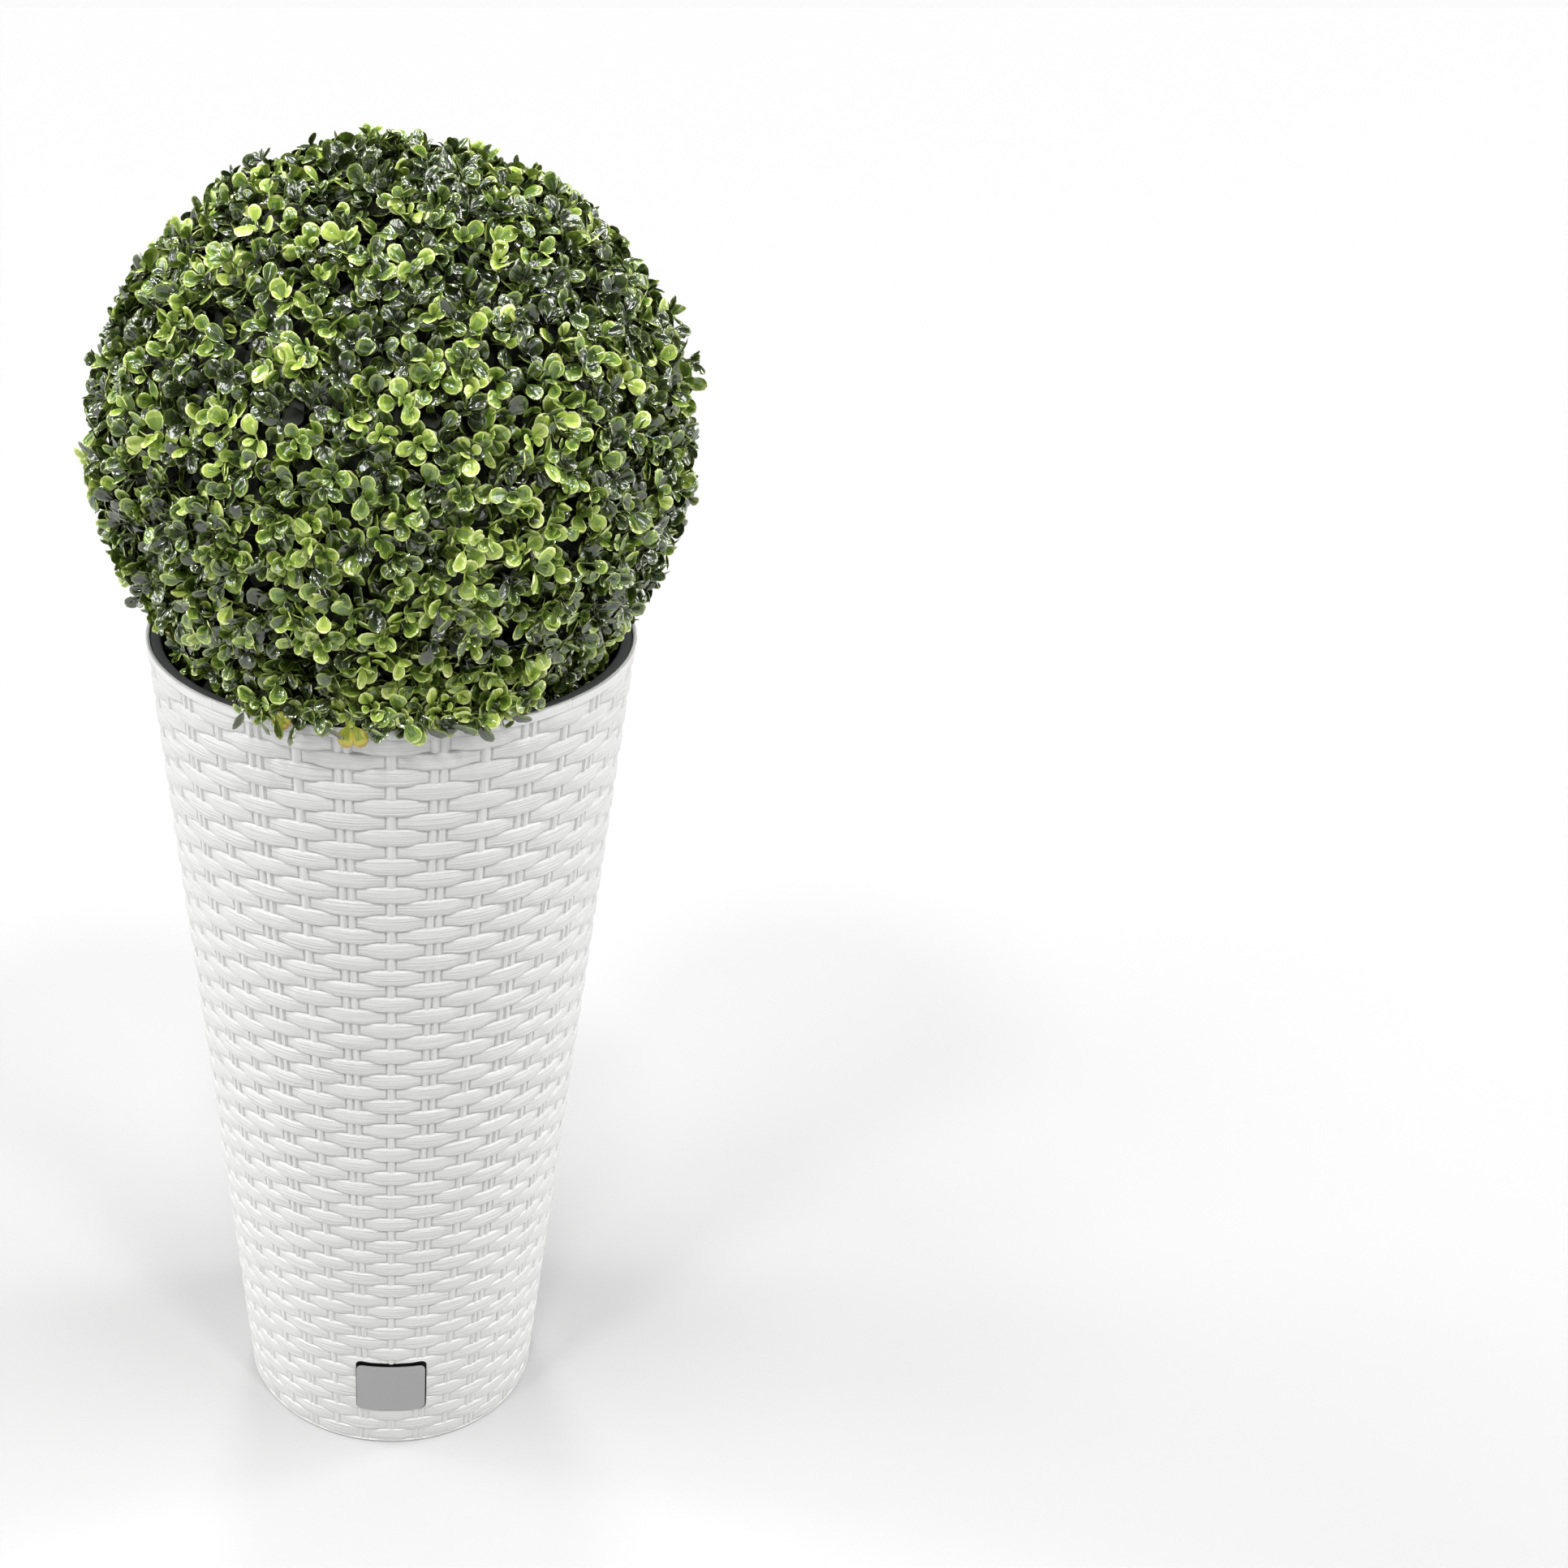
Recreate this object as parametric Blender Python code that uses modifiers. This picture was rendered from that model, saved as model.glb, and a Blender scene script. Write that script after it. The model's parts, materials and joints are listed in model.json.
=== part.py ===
"""Artificial boxwood ball in a tall, tapered planter with a moulded basket weave.

Frame: metres, +Z up, origin at the centre of the planter's flat underside.
The planter's front, with the indicator plate, faces -Y.
"""

import math
import random

import bmesh
import bpy
from mathutils import Matrix, Vector

# Planter shell
POT_HEIGHT = 0.760
RIM_RADIUS = 0.1985
BASE_RADIUS = 0.1360
SHELL_WALL = 0.0060
SHELL_FLOOR = 0.0050
RIM_WALL = 0.0034
RIM_RECESS = 0.0055
BASE_CHAMFER = 0.0020

# Basket weave moulded into the shell's outer face
STAKE_COUNT = 34
ROW_COUNT = 57
ROW_PITCH = 0.01318
RIM_BAND = 0.0085
WEAVE_RELIEF = 0.0024

# Liner that hangs in the shell's rim
LINER_TOP_DROP = 0.0015
LINER_FLANGE = 0.0090
LINER_FLANGE_THICKNESS = 0.0037
LINER_WALL = 0.0035
LINER_DEPTH = 0.360

# Filling and the short stem that stands on it
FILL_TOP = 0.668
STEM_FOOT_RADIUS = 0.034
STEM_RADIUS = 0.019
STEM_SIDES = 12
STEM_RINGS = 5

# Indicator plate in its pocket low on the front
PLATE_WIDTH = 0.0620
PLATE_HEIGHT = 0.0700
PLATE_CENTRE_Z = 0.0715
PLATE_CORNER = 0.0055
CORNER_STEPS = 3
PLATE_THICKNESS = 0.0026
PLATE_PROUD = 0.0008
POCKET_MARGIN = 0.0006
POCKET_HEADROOM = 0.0035

# Clipped ball of foliage
BALL_RADIUS = 0.2395
BALL_HALF_HEIGHT = 0.2330
BALL_CENTRE_Z = 0.9130
CORE_GAP = 0.0320
CORE_DETAIL = 3
CORE_LUMPS = 0.0100
NECK_RADIUS = 0.026
NECK_LENGTH = 0.018
SPRIG_COUNT = 102
SPRIG_LEAN = 0.22
LOWEST_SPRIG = -0.93
TWIG_LENGTH = 0.012
TWIG_RADIUS = 0.0038
TWIG_TAPER = 0.55
TWIG_ROOT = 0.016
LEAF_LENGTH = 0.044
LEAF_WIDTH = 0.037
LEAF_THICKNESS = 0.0024
LEAF_ROOT = 0.0010
LEAF_PAIRS = ((0.25, 14.0), (0.62, 32.0))
TIP_LEAF_HEIGHT = 0.94
TIP_LEAF_SIZE = 0.78
TRIM_STEP = 0.94
TRIM_TRIES = 9
FEWEST_LEAVES = 3
SEED = 7

CLEARANCE = 0.0003
MERGE = 0.00005
CREASE_ANGLE = math.radians(15)
SLANT = math.hypot(POT_HEIGHT, RIM_RADIUS - BASE_RADIUS)
FRONT = -math.pi / 2


def clear_scene():
    """Removes every object, so that only the planter and its ball are left."""
    for obj in list(bpy.data.objects):
        bpy.data.objects.remove(obj)


def collection(name, helper=False):
    """A collection linked to the scene. A helper collection isn't rendered."""
    made = bpy.data.collections.new(name)
    bpy.context.scene.collection.children.link(made)
    made.hide_render = helper
    return made


def material(name, colour, roughness, metallic=0.0):
    """A Principled material of one colour."""
    made = bpy.data.materials.new(name)
    made.use_nodes = True
    shader = made.node_tree.nodes["Principled BSDF"]
    shader.inputs["Base Color"].default_value = (*colour, 1.0)
    shader.inputs["Roughness"].default_value = roughness
    shader.inputs["Metallic"].default_value = metallic
    return made


def add_object(name, mesh, home, finish=None):
    """An object for the mesh, in the collection home, with a material if one is given."""
    obj = bpy.data.objects.new(name, mesh)
    home.objects.link(obj)
    if finish is not None:
        mesh.materials.clear()
        mesh.materials.append(finish)
    return obj


def mesh_from_bmesh(name, bm):
    """A mesh with the shape in bm, which is freed."""
    mesh = bpy.data.meshes.new(name)
    bm.to_mesh(mesh)
    bm.free()
    return mesh


def turned(name, profile, home, finish=None, steps=STAKE_COUNT):
    """A solid of revolution about Z. The profile runs down its outer side from axis to axis."""
    mesh = bpy.data.meshes.new(name)
    points = [(radius, 0.0, z) for radius, z in profile]
    edges = [(i, i + 1) for i in range(len(points) - 1)]
    mesh.from_pydata(points, edges, [])
    obj = add_object(name, mesh, home, finish)
    obj.rotation_euler.z = FRONT
    screw = obj.modifiers.new("turn", "SCREW")
    screw.steps = steps
    screw.render_steps = steps
    screw.use_merge_vertices = True
    screw.merge_threshold = MERGE
    apply_modifiers(obj)
    shade_round(obj)
    return obj


def apply_modifiers(obj):
    """Replaces the object's mesh with its evaluated one, in world space."""
    bpy.context.view_layer.update()
    graph = bpy.context.evaluated_depsgraph_get()
    mesh = bpy.data.meshes.new_from_object(obj.evaluated_get(graph))
    mesh.transform(obj.matrix_world)
    obj.modifiers.clear()
    obj.data = mesh
    obj.matrix_world = Matrix.Identity(4)


def shade_round(obj):
    """Shades the object smooth, except over its real edges and the weave's creases."""
    obj.data.shade_smooth()
    obj.data.set_sharp_from_angle(angle=CREASE_ANGLE)


def boolean(obj, operation, cutter):
    """Adds a Boolean modifier that cuts obj with one mesh object."""
    modifier = obj.modifiers.new(operation.lower(), "BOOLEAN")
    modifier.operation = operation
    modifier.object = cutter


def wall_radius(z):
    """Radius of the shell's outer face at the weave's crests."""
    return BASE_RADIUS + (RIM_RADIUS - BASE_RADIUS) * z / POT_HEIGHT


def row_height(row):
    """Height of the middle of a weave row. Row 0 is the one under the rim band."""
    down = RIM_BAND + ROW_PITCH * (row + 0.5)
    return POT_HEIGHT * (1.0 - down / SLANT)


def passes_behind(vertex, rows):
    """True where the row at this vertex of the wall passes behind the stake."""
    row = rows.get(round(vertex.co.z, 5))
    radius = math.hypot(vertex.co.x, vertex.co.y)
    if row is None or radius < wall_radius(vertex.co.z) - SHELL_WALL / 2:
        return False
    turn = math.atan2(vertex.co.y, vertex.co.x) - FRONT
    stake = round(turn / math.tau * STAKE_COUNT)
    return (stake + row) % 2 == 1


def weave_wall(mesh):
    """Sinks the wall wherever a row passes behind a stake, in a plain over-and-under weave.

    Each face is then split between its sunk corners, so that a strand's crest is a lens."""
    rows = {round(row_height(row), 5): row for row in range(ROW_COUNT)}
    bm = bmesh.new()
    bm.from_mesh(mesh)
    sunk = {vertex for vertex in bm.verts if passes_behind(vertex, rows)}
    for face in list(bm.faces):
        corners = [vertex for vertex in face.verts if vertex in sunk]
        if len(corners) == 2 and not bm.edges.get(corners):
            bmesh.utils.face_split(face, *corners)
    for vertex in sunk:
        radius = math.hypot(vertex.co.x, vertex.co.y)
        scale = (radius - WEAVE_RELIEF) / radius
        vertex.co.x *= scale
        vertex.co.y *= scale
    bm.to_mesh(mesh)
    bm.free()


def add_shell(home, helpers, finish):
    """The woven-look outer pot, with the liner's ledge in its rim and the plate's pocket cut in."""
    ledge = POT_HEIGHT - RIM_RECESS
    inner_base = wall_radius(SHELL_FLOOR) - SHELL_WALL
    profile = [
        (0.0, SHELL_FLOOR),
        (inner_base, SHELL_FLOOR),
        (wall_radius(ledge) - SHELL_WALL, ledge),
        (RIM_RADIUS - RIM_WALL, ledge),
        (RIM_RADIUS - RIM_WALL, POT_HEIGHT),
        (RIM_RADIUS, POT_HEIGHT),
        (wall_radius(row_height(-0.5)), row_height(-0.5)),
    ]
    profile += [(wall_radius(row_height(row)), row_height(row)) for row in range(ROW_COUNT)]
    profile += [
        (BASE_RADIUS, BASE_CHAMFER),
        (BASE_RADIUS - BASE_CHAMFER, 0.0),
        (0.0, 0.0),
    ]
    shell = turned("planter_shell", profile, home, finish)
    weave_wall(shell.data)
    pocket = plate_block(
        "plate_pocket",
        helpers,
        PLATE_WIDTH + 2 * POCKET_MARGIN,
        PLATE_CENTRE_Z - PLATE_HEIGHT / 2 - POCKET_MARGIN,
        PLATE_CENTRE_Z + PLATE_HEIGHT / 2 + POCKET_HEADROOM,
        PLATE_PROUD - PLATE_THICKNESS - CLEARANCE,
        SHELL_WALL,
    )
    boolean(shell, "DIFFERENCE", pocket)
    apply_modifiers(shell)
    shade_round(shell)
    return shell


def rounded_prism(name, home, width, low, high, depth):
    """A block from the axis out along -Y, with its corners rounded as seen from the front."""
    place = Matrix.Translation((0.0, -depth / 2, (low + high) / 2))
    bm = bmesh.new()
    bmesh.ops.create_cube(bm, matrix=place @ Matrix.Diagonal((width, depth, high - low, 1.0)))
    corners = [edge for edge in bm.edges if edge.calc_length() > 0.9 * depth]
    bmesh.ops.bevel(
        bm, geom=corners, offset=PLATE_CORNER, segments=CORNER_STEPS, profile=0.5, affect="EDGES"
    )
    return add_object(name, mesh_from_bmesh(name, bm), home)


def plate_block(name, home, width, low, high, inner, outer):
    """A piece of a cone that follows the wall, between two offsets from it, with a rounded outline."""
    foot, head = low - PLATE_CORNER, high + PLATE_CORNER
    profile = [
        (wall_radius(head) + inner, head),
        (wall_radius(head) + outer, head),
        (wall_radius(foot) + outer, foot),
        (wall_radius(foot) + inner, foot),
        (wall_radius(head) + inner, head),
    ]
    block = turned(name, profile, home, steps=2 * STAKE_COUNT)
    prism = rounded_prism(name + "_outline", home, width, low, high, 1.5 * RIM_RADIUS)
    boolean(block, "INTERSECT", prism)
    apply_modifiers(block)
    bpy.data.objects.remove(prism)
    return block


def add_plate(home, helpers, finish):
    """The curved grey plate in its pocket low on the planter's front."""
    plate = plate_block(
        "indicator_plate",
        helpers,
        PLATE_WIDTH,
        PLATE_CENTRE_Z - PLATE_HEIGHT / 2,
        PLATE_CENTRE_Z + PLATE_HEIGHT / 2,
        PLATE_PROUD - PLATE_THICKNESS,
        PLATE_PROUD,
    )
    helpers.objects.unlink(plate)
    home.objects.link(plate)
    plate.data.materials.append(finish)
    shade_round(plate)
    return plate


def liner_radius(z):
    """Radius of the liner's outer face, which has the shell's taper."""
    top = RIM_RADIUS - RIM_WALL - LINER_FLANGE + LINER_WALL
    return top - (RIM_RADIUS - BASE_RADIUS) * (POT_HEIGHT - z) / POT_HEIGHT


def add_liner(home, finish):
    """The dark inner pot, which hangs by its flange on the shell's ledge."""
    top = POT_HEIGHT - LINER_TOP_DROP
    under_flange = top - LINER_FLANGE_THICKNESS
    flange_edge = RIM_RADIUS - RIM_WALL - CLEARANCE
    floor = top - LINER_DEPTH
    profile = [
        (0.0, floor + LINER_WALL),
        (liner_radius(floor) - LINER_WALL, floor + LINER_WALL),
        (liner_radius(top) - LINER_WALL, top),
        (flange_edge, top),
        (flange_edge, under_flange),
        (liner_radius(under_flange), under_flange),
        (liner_radius(floor), floor),
        (0.0, floor),
    ]
    return turned("planter_liner", profile, home, finish)


def add_fill(home, finish):
    """The filling inside the liner, from the liner's floor to below the ball."""
    floor = POT_HEIGHT - LINER_TOP_DROP - LINER_DEPTH + LINER_WALL + CLEARANCE
    inset = LINER_WALL + CLEARANCE
    profile = [
        (0.0, FILL_TOP),
        (liner_radius(FILL_TOP) - inset, FILL_TOP),
        (liner_radius(floor) - inset, floor),
        (0.0, floor),
    ]
    return turned("liner_fill", profile, home, finish)


def add_stem(home, finish):
    """The short flared stem between the filling and the ball's neck."""
    foot = FILL_TOP + CLEARANCE
    head = BALL_CENTRE_Z - BALL_HALF_HEIGHT + CORE_GAP - NECK_LENGTH - CLEARANCE
    profile = [(0.0, head)]
    for step in range(STEM_RINGS + 1):
        share = step / STEM_RINGS
        flare = (STEM_FOOT_RADIUS - STEM_RADIUS) * share**3
        profile.append((STEM_RADIUS + flare, head + (foot - head) * share))
    profile.append((0.0, foot))
    return turned("stem", profile, home, finish, steps=STEM_SIDES)


def envelope(point):
    """How far out a point lies: 1 on the clipped outline of the ball, and less inside it."""
    across = math.hypot(point.x, point.y) / BALL_RADIUS
    up = (point.z - BALL_CENTRE_Z) / BALL_HALF_HEIGHT
    return math.hypot(across, up)


def core_point(direction):
    """The point of the core's surface in a unit direction from its centre."""
    across = BALL_RADIUS - CORE_GAP
    up = BALL_HALF_HEIGHT - CORE_GAP
    return Vector((direction.x * across, direction.y * across, BALL_CENTRE_Z + direction.z * up))


def add_core(home, rng):
    """The ball's lumpy inner ellipsoid, and the mesh of a neck that goes below it."""
    bm = bmesh.new()
    bmesh.ops.create_icosphere(bm, subdivisions=CORE_DETAIL, radius=1.0)
    for vertex in bm.verts:
        outward = vertex.co.normalized()
        vertex.co = core_point(outward) + outward * rng.uniform(-CORE_LUMPS, 0.0)
    core = add_object("foliage_ball", mesh_from_bmesh("core", bm), home)

    bottom = BALL_CENTRE_Z - BALL_HALF_HEIGHT + CORE_GAP
    depth = 2 * NECK_LENGTH
    bm = bmesh.new()
    bmesh.ops.create_cone(
        bm,
        cap_ends=True,
        segments=STEM_SIDES,
        radius1=NECK_RADIUS,
        radius2=NECK_RADIUS,
        depth=depth,
        matrix=Matrix.Translation((0.0, 0.0, bottom - NECK_LENGTH + depth / 2)),
    )
    return core, mesh_from_bmesh("neck", bm)


def twig_mesh():
    """A three-sided tapering twig along +Z, with its root below the origin."""
    bm = bmesh.new()
    length = TWIG_ROOT + TWIG_LENGTH
    bmesh.ops.create_cone(
        bm,
        cap_ends=True,
        segments=3,
        radius1=TWIG_RADIUS,
        radius2=TWIG_RADIUS * TWIG_TAPER,
        depth=length,
        matrix=Matrix.Translation((0.0, 0.0, length / 2 - TWIG_ROOT)),
    )
    return mesh_from_bmesh("twig", bm)


def leaf_mesh():
    """A rounded spoon-shaped leaf along +X: five outline points, flat below and domed above."""
    outline = [
        (-LEAF_ROOT, 0.0),
        (0.56 * LEAF_LENGTH, -0.50 * LEAF_WIDTH),
        (0.97 * LEAF_LENGTH, -0.24 * LEAF_WIDTH),
        (0.97 * LEAF_LENGTH, 0.24 * LEAF_WIDTH),
        (0.56 * LEAF_LENGTH, 0.50 * LEAF_WIDTH),
    ]
    bm = bmesh.new()
    ring = [bm.verts.new((x, y, 0.0)) for x, y in outline]
    crown = bm.verts.new((0.50 * LEAF_LENGTH, 0.0, LEAF_THICKNESS))
    bm.faces.new(reversed(ring))
    for first, second in zip(ring, ring[1:] + ring[:1]):
        bm.faces.new((first, second, crown))
    return mesh_from_bmesh("leaf", bm)


def facing(axis, roll):
    """A rotation that carries +Z to axis, after a turn of roll about +Z."""
    turn = Vector((0.0, 0.0, 1.0)).rotation_difference(axis).to_matrix().to_4x4()
    return turn @ Matrix.Rotation(roll, 4, "Z")


def spiral_direction(index, count):
    """One of count unit directions spread evenly over a sphere along a golden spiral."""
    golden = math.pi * (3.0 - math.sqrt(5.0))
    z = 1.0 - (2.0 * index + 1.0) / count
    ring = math.sqrt(1.0 - z * z)
    return Vector((ring * math.cos(golden * index), ring * math.sin(golden * index), z))


def on_twig(height, turn, lift, size):
    """Where a leaf sits: its height on the twig, its turn about it, its slope and its size."""
    place = Matrix.Translation((0.0, 0.0, height)) @ Matrix.Rotation(turn, 4, "Z")
    return place @ Matrix.Rotation(-lift, 4, "Y") @ Matrix.Scale(size, 4)


def leaf_places(rng):
    """Places of a sprig's leaves on its twig: two crossed pairs and one leaf at the tip."""
    turn = rng.uniform(0.0, math.pi)
    places = []
    for share, slope in LEAF_PAIRS:
        for side in (0.0, math.pi):
            jitter = rng.uniform(-0.25, 0.25)
            lift = math.radians(slope + rng.uniform(-8.0, 8.0))
            size = rng.uniform(0.84, 1.0)
            places.append(on_twig(share * TWIG_LENGTH, turn + side + jitter, lift, size))
        turn += math.pi / 2
    lift = math.radians(rng.uniform(44.0, 58.0))
    turn += rng.uniform(-0.3, 0.3)
    places.append(on_twig(TIP_LEAF_HEIGHT * TWIG_LENGTH, turn, lift, TIP_LEAF_SIZE))
    return places


def trimmed(place, leaf):
    """The place, shrunk until the leaf keeps inside the clipped outline, or None if it can't."""
    for _ in range(TRIM_TRIES):
        if all(envelope(place @ vertex.co) <= 1.0 for vertex in leaf.vertices):
            return place
        place = place @ Matrix.Scale(TRIM_STEP, 4)
    return None


def keep_outer_shell(mesh):
    """Drops every closed shell but the largest, which fills sealed hollows and removes scraps."""
    bm = bmesh.new()
    bm.from_mesh(mesh)
    left = set(bm.faces)
    shells = []
    while left:
        shell, edge_of_shell = set(), [left.pop()]
        while edge_of_shell:
            face = edge_of_shell.pop()
            shell.add(face)
            near = {other for edge in face.edges for other in edge.link_faces} & left
            left -= near
            edge_of_shell.extend(near)
        shells.append(shell)
    shells.sort(key=len)
    for shell in shells[:-1]:
        bmesh.ops.delete(bm, geom=list(shell), context="FACES")
    bm.to_mesh(mesh)
    bm.free()


def add_foliage(home, finish):
    """The clipped ball: a core with sprigs of leaves that stand out of it, fused into one solid."""
    rng = random.Random(SEED)
    sprigs = collection("sprigs", helper=True)
    core, neck = add_core(home, rng)
    add_object("neck", neck, sprigs)
    twig, leaf = twig_mesh(), leaf_mesh()
    for index in range(SPRIG_COUNT):
        direction = spiral_direction(index, SPRIG_COUNT)
        if direction.z < LOWEST_SPRIG:
            continue
        lean = Vector([rng.uniform(-SPRIG_LEAN, SPRIG_LEAN) for _ in range(3)])
        base = Matrix.Translation(core_point(direction))
        base = base @ facing((direction + lean).normalized(), rng.uniform(0.0, math.tau))
        blades = [trimmed(base @ place, leaf) for place in leaf_places(rng)]
        blades = [place for place in blades if place is not None]
        if len(blades) < FEWEST_LEAVES:
            continue
        add_object("twig", twig, sprigs).matrix_world = base
        for place in blades:
            add_object("leaf", leaf, sprigs).matrix_world = place
    modifier = core.modifiers.new("fuse", "BOOLEAN")
    modifier.operation = "UNION"
    modifier.operand_type = "COLLECTION"
    modifier.collection = sprigs
    modifier.solver = "MANIFOLD"
    apply_modifiers(core)
    keep_outer_shell(core.data)
    for obj in list(sprigs.objects):
        bpy.data.objects.remove(obj)
    bpy.data.collections.remove(sprigs)
    core.data.materials.clear()
    core.data.materials.append(finish)
    return core


def main():
    """Builds the planter, its liner and filling, the stem, the plate and the ball."""
    clear_scene()
    home = collection("boxwood_ball_planter")
    helpers = collection("cutters", helper=True)
    white = material("white_polypropylene", (0.86, 0.86, 0.86), 0.45)
    charcoal = material("charcoal_polypropylene", (0.035, 0.035, 0.038), 0.55)
    grey = material("satin_grey_plate", (0.35, 0.35, 0.35), 0.40, 0.3)
    mulch = material("bark_mulch", (0.03, 0.02, 0.014), 0.95)
    bark = material("stem_bark", (0.10, 0.07, 0.045), 0.85)
    green = material("boxwood_leaves", (0.10, 0.23, 0.035), 0.40)

    add_shell(home, helpers, white)
    add_plate(home, helpers, grey)
    add_liner(home, charcoal)
    add_fill(home, mulch)
    add_stem(home, bark)
    add_foliage(home, green)
    for obj in helpers.objects:
        obj.hide_render = True
        obj.display_type = "WIRE"


main()
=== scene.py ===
"""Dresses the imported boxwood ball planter: woven-look shell, liner, filling, stem and leaves.

Frame: metres, +Z up, origin at the centre of the planter's underside, front towards -Y.
Every piece rides on the one body, "root", and stands for the CAD node of its sub-part.
"""

import json
import logging
import math
import random
from dataclasses import dataclass, field
from enum import Enum

import bmesh
import bpy
import numpy as np
from mathutils import Matrix, Vector
from numpy.typing import NDArray

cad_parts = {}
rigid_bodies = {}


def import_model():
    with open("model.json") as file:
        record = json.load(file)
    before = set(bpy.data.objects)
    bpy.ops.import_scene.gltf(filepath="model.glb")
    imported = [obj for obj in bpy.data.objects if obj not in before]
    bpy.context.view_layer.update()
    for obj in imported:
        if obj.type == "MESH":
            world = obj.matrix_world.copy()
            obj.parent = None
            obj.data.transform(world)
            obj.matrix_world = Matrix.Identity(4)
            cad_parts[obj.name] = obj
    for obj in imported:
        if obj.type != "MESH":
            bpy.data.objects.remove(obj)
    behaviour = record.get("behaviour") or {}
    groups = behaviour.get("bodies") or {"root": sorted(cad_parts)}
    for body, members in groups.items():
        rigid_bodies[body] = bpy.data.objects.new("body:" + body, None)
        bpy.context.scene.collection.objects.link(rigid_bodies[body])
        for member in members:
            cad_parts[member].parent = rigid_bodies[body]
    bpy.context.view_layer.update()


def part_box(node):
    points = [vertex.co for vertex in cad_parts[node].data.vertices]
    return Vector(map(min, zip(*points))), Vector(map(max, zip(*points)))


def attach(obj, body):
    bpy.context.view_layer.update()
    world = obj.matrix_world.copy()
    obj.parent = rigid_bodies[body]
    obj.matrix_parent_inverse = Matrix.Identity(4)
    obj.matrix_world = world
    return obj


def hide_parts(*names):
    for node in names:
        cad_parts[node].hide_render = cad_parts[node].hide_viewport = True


LOG = logging.getLogger("boxwood_ball")
BODY = "root"
MM = 0.001
FRONT = -math.pi / 2
WELD_DISTANCE = 0.001 * MM
CREASE = math.radians(40.0)

# Blender's colour Mix node: its sockets share their names, so they are reached by number.
MIX_A, MIX_B, MIX_RESULT = 6, 7, 2

Points = NDArray[np.float64]
Faces = NDArray[np.int64]


def linear(hex_colour: str) -> tuple[float, float, float, float]:
    """Turns an sRGB hex colour into linear RGBA.

    Args:
        hex_colour: A colour such as "#8FA050".

    Returns:
        Red, green, blue and an alpha of 1, in linear light.
    """
    parts = [int(hex_colour[i : i + 2], 16) / 255 for i in (1, 3, 5)]
    red, green, blue = (c / 12.92 if c <= 0.04045 else ((c + 0.055) / 1.055) ** 2.4 for c in parts)
    return red, green, blue, 1.0


def add_node(
    tree: bpy.types.NodeTree,
    kind: str,
    settings: dict[str, object] | None = None,
    inputs: dict[str | int, object] | None = None,
) -> bpy.types.Node:
    """Adds a node with its settings, socket values and incoming links.

    Args:
        tree: The node tree that the node goes in.
        kind: The node's Blender type.
        settings: Node properties by name.
        inputs: By socket name or number, a value or the output socket that links into it.

    Returns:
        The new node.
    """
    node = tree.nodes.new(kind)
    for name, value in (settings or {}).items():
        setattr(node, name, value)
    for name, value in (inputs or {}).items():
        if isinstance(value, bpy.types.NodeSocket):
            tree.links.new(value, node.inputs[name])
        else:
            node.inputs[name].default_value = value
    return node


def new_shader(name: str) -> tuple[bpy.types.Material, bpy.types.Node]:
    """Makes a material that holds only its Principled shader and output.

    Args:
        name: The material's name.

    Returns:
        The material and its Principled shader.
    """
    material = bpy.data.materials.new(name)
    material.use_nodes = True
    return material, material.node_tree.nodes["Principled BSDF"]


def dress_relief(material: bpy.types.Material, shader: bpy.types.Node, level: bpy.types.NodeSocket,
                 hollow: str, crest: str, depth: float) -> None:
    """Colours a surface from its hollows to its crests, and raises the crests.

    Args:
        material: The material.
        shader: Its Principled shader.
        level: The pattern, 0 in the hollows and 1 on the crests.
        hollow: sRGB colour of the hollows.
        crest: sRGB colour of the crests.
        depth: Height of the crests over the hollows, in metres.
    """
    tree = material.node_tree
    tint = add_node(
        tree,
        "ShaderNodeMix",
        {"data_type": "RGBA"},
        {"Factor": level, MIX_A: linear(hollow), MIX_B: linear(crest)},
    )
    bump = add_node(tree, "ShaderNodeBump", inputs={"Height": level, "Distance": depth})
    tree.links.new(tint.outputs[MIX_RESULT], shader.inputs["Base Color"])
    tree.links.new(bump.outputs["Normal"], shader.inputs["Normal"])


@dataclass(frozen=True)
class MouldedPlastic:
    """Injection-moulded plastic of one even colour, which shows the eye its edges and its gloss.

    Attributes:
        name: The material's name.
        colour: sRGB base colour.
        roughness: Gloss of the moulded skin: 0.5 for a satin tool and 0.65 for a dusty skin.
    """

    name: str
    colour: str
    roughness: float

    def material(self) -> bpy.types.Material:
        """Builds the Blender material.

        Returns:
            The material.
        """
        material, shader = new_shader(self.name)
        shader.inputs["Base Color"].default_value = linear(self.colour)
        shader.inputs["Roughness"].default_value = self.roughness
        return material


@dataclass(frozen=True)
class GrainedPlastic:
    """Plastic moulded in a spark-eroded tool: a fine even grain that softens its highlights.

    A real grain is finer than 0.2 mm. It is drawn coarser here, so that a render shows it.

    Attributes:
        name: The material's name.
        colour: sRGB colour of the grain's hills.
        shade: sRGB colour of its hollows.
        roughness: Mean roughness.
        grain_mm: Size of one grain.
        depth_mm: Height of the grain.
        detail: Octaves of finer grain on the grain.
    """

    name: str
    colour: str
    shade: str
    roughness: float
    grain_mm: float
    depth_mm: float
    detail: float = 3.0

    def material(self) -> bpy.types.Material:
        """Builds the Blender material.

        Returns:
            The material.
        """
        material, shader = new_shader(self.name)
        tree = material.node_tree
        place = add_node(tree, "ShaderNodeTexCoord")
        noise = add_node(
            tree,
            "ShaderNodeTexNoise",
            inputs={
                "Vector": place.outputs["Object"],
                "Scale": 1.0 / (self.grain_mm * MM),
                "Detail": self.detail,
            },
        )
        dress_relief(
            material, shader, noise.outputs["Fac"], self.shade, self.colour, self.depth_mm * MM
        )
        shader.inputs["Roughness"].default_value = self.roughness
        return material


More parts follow.
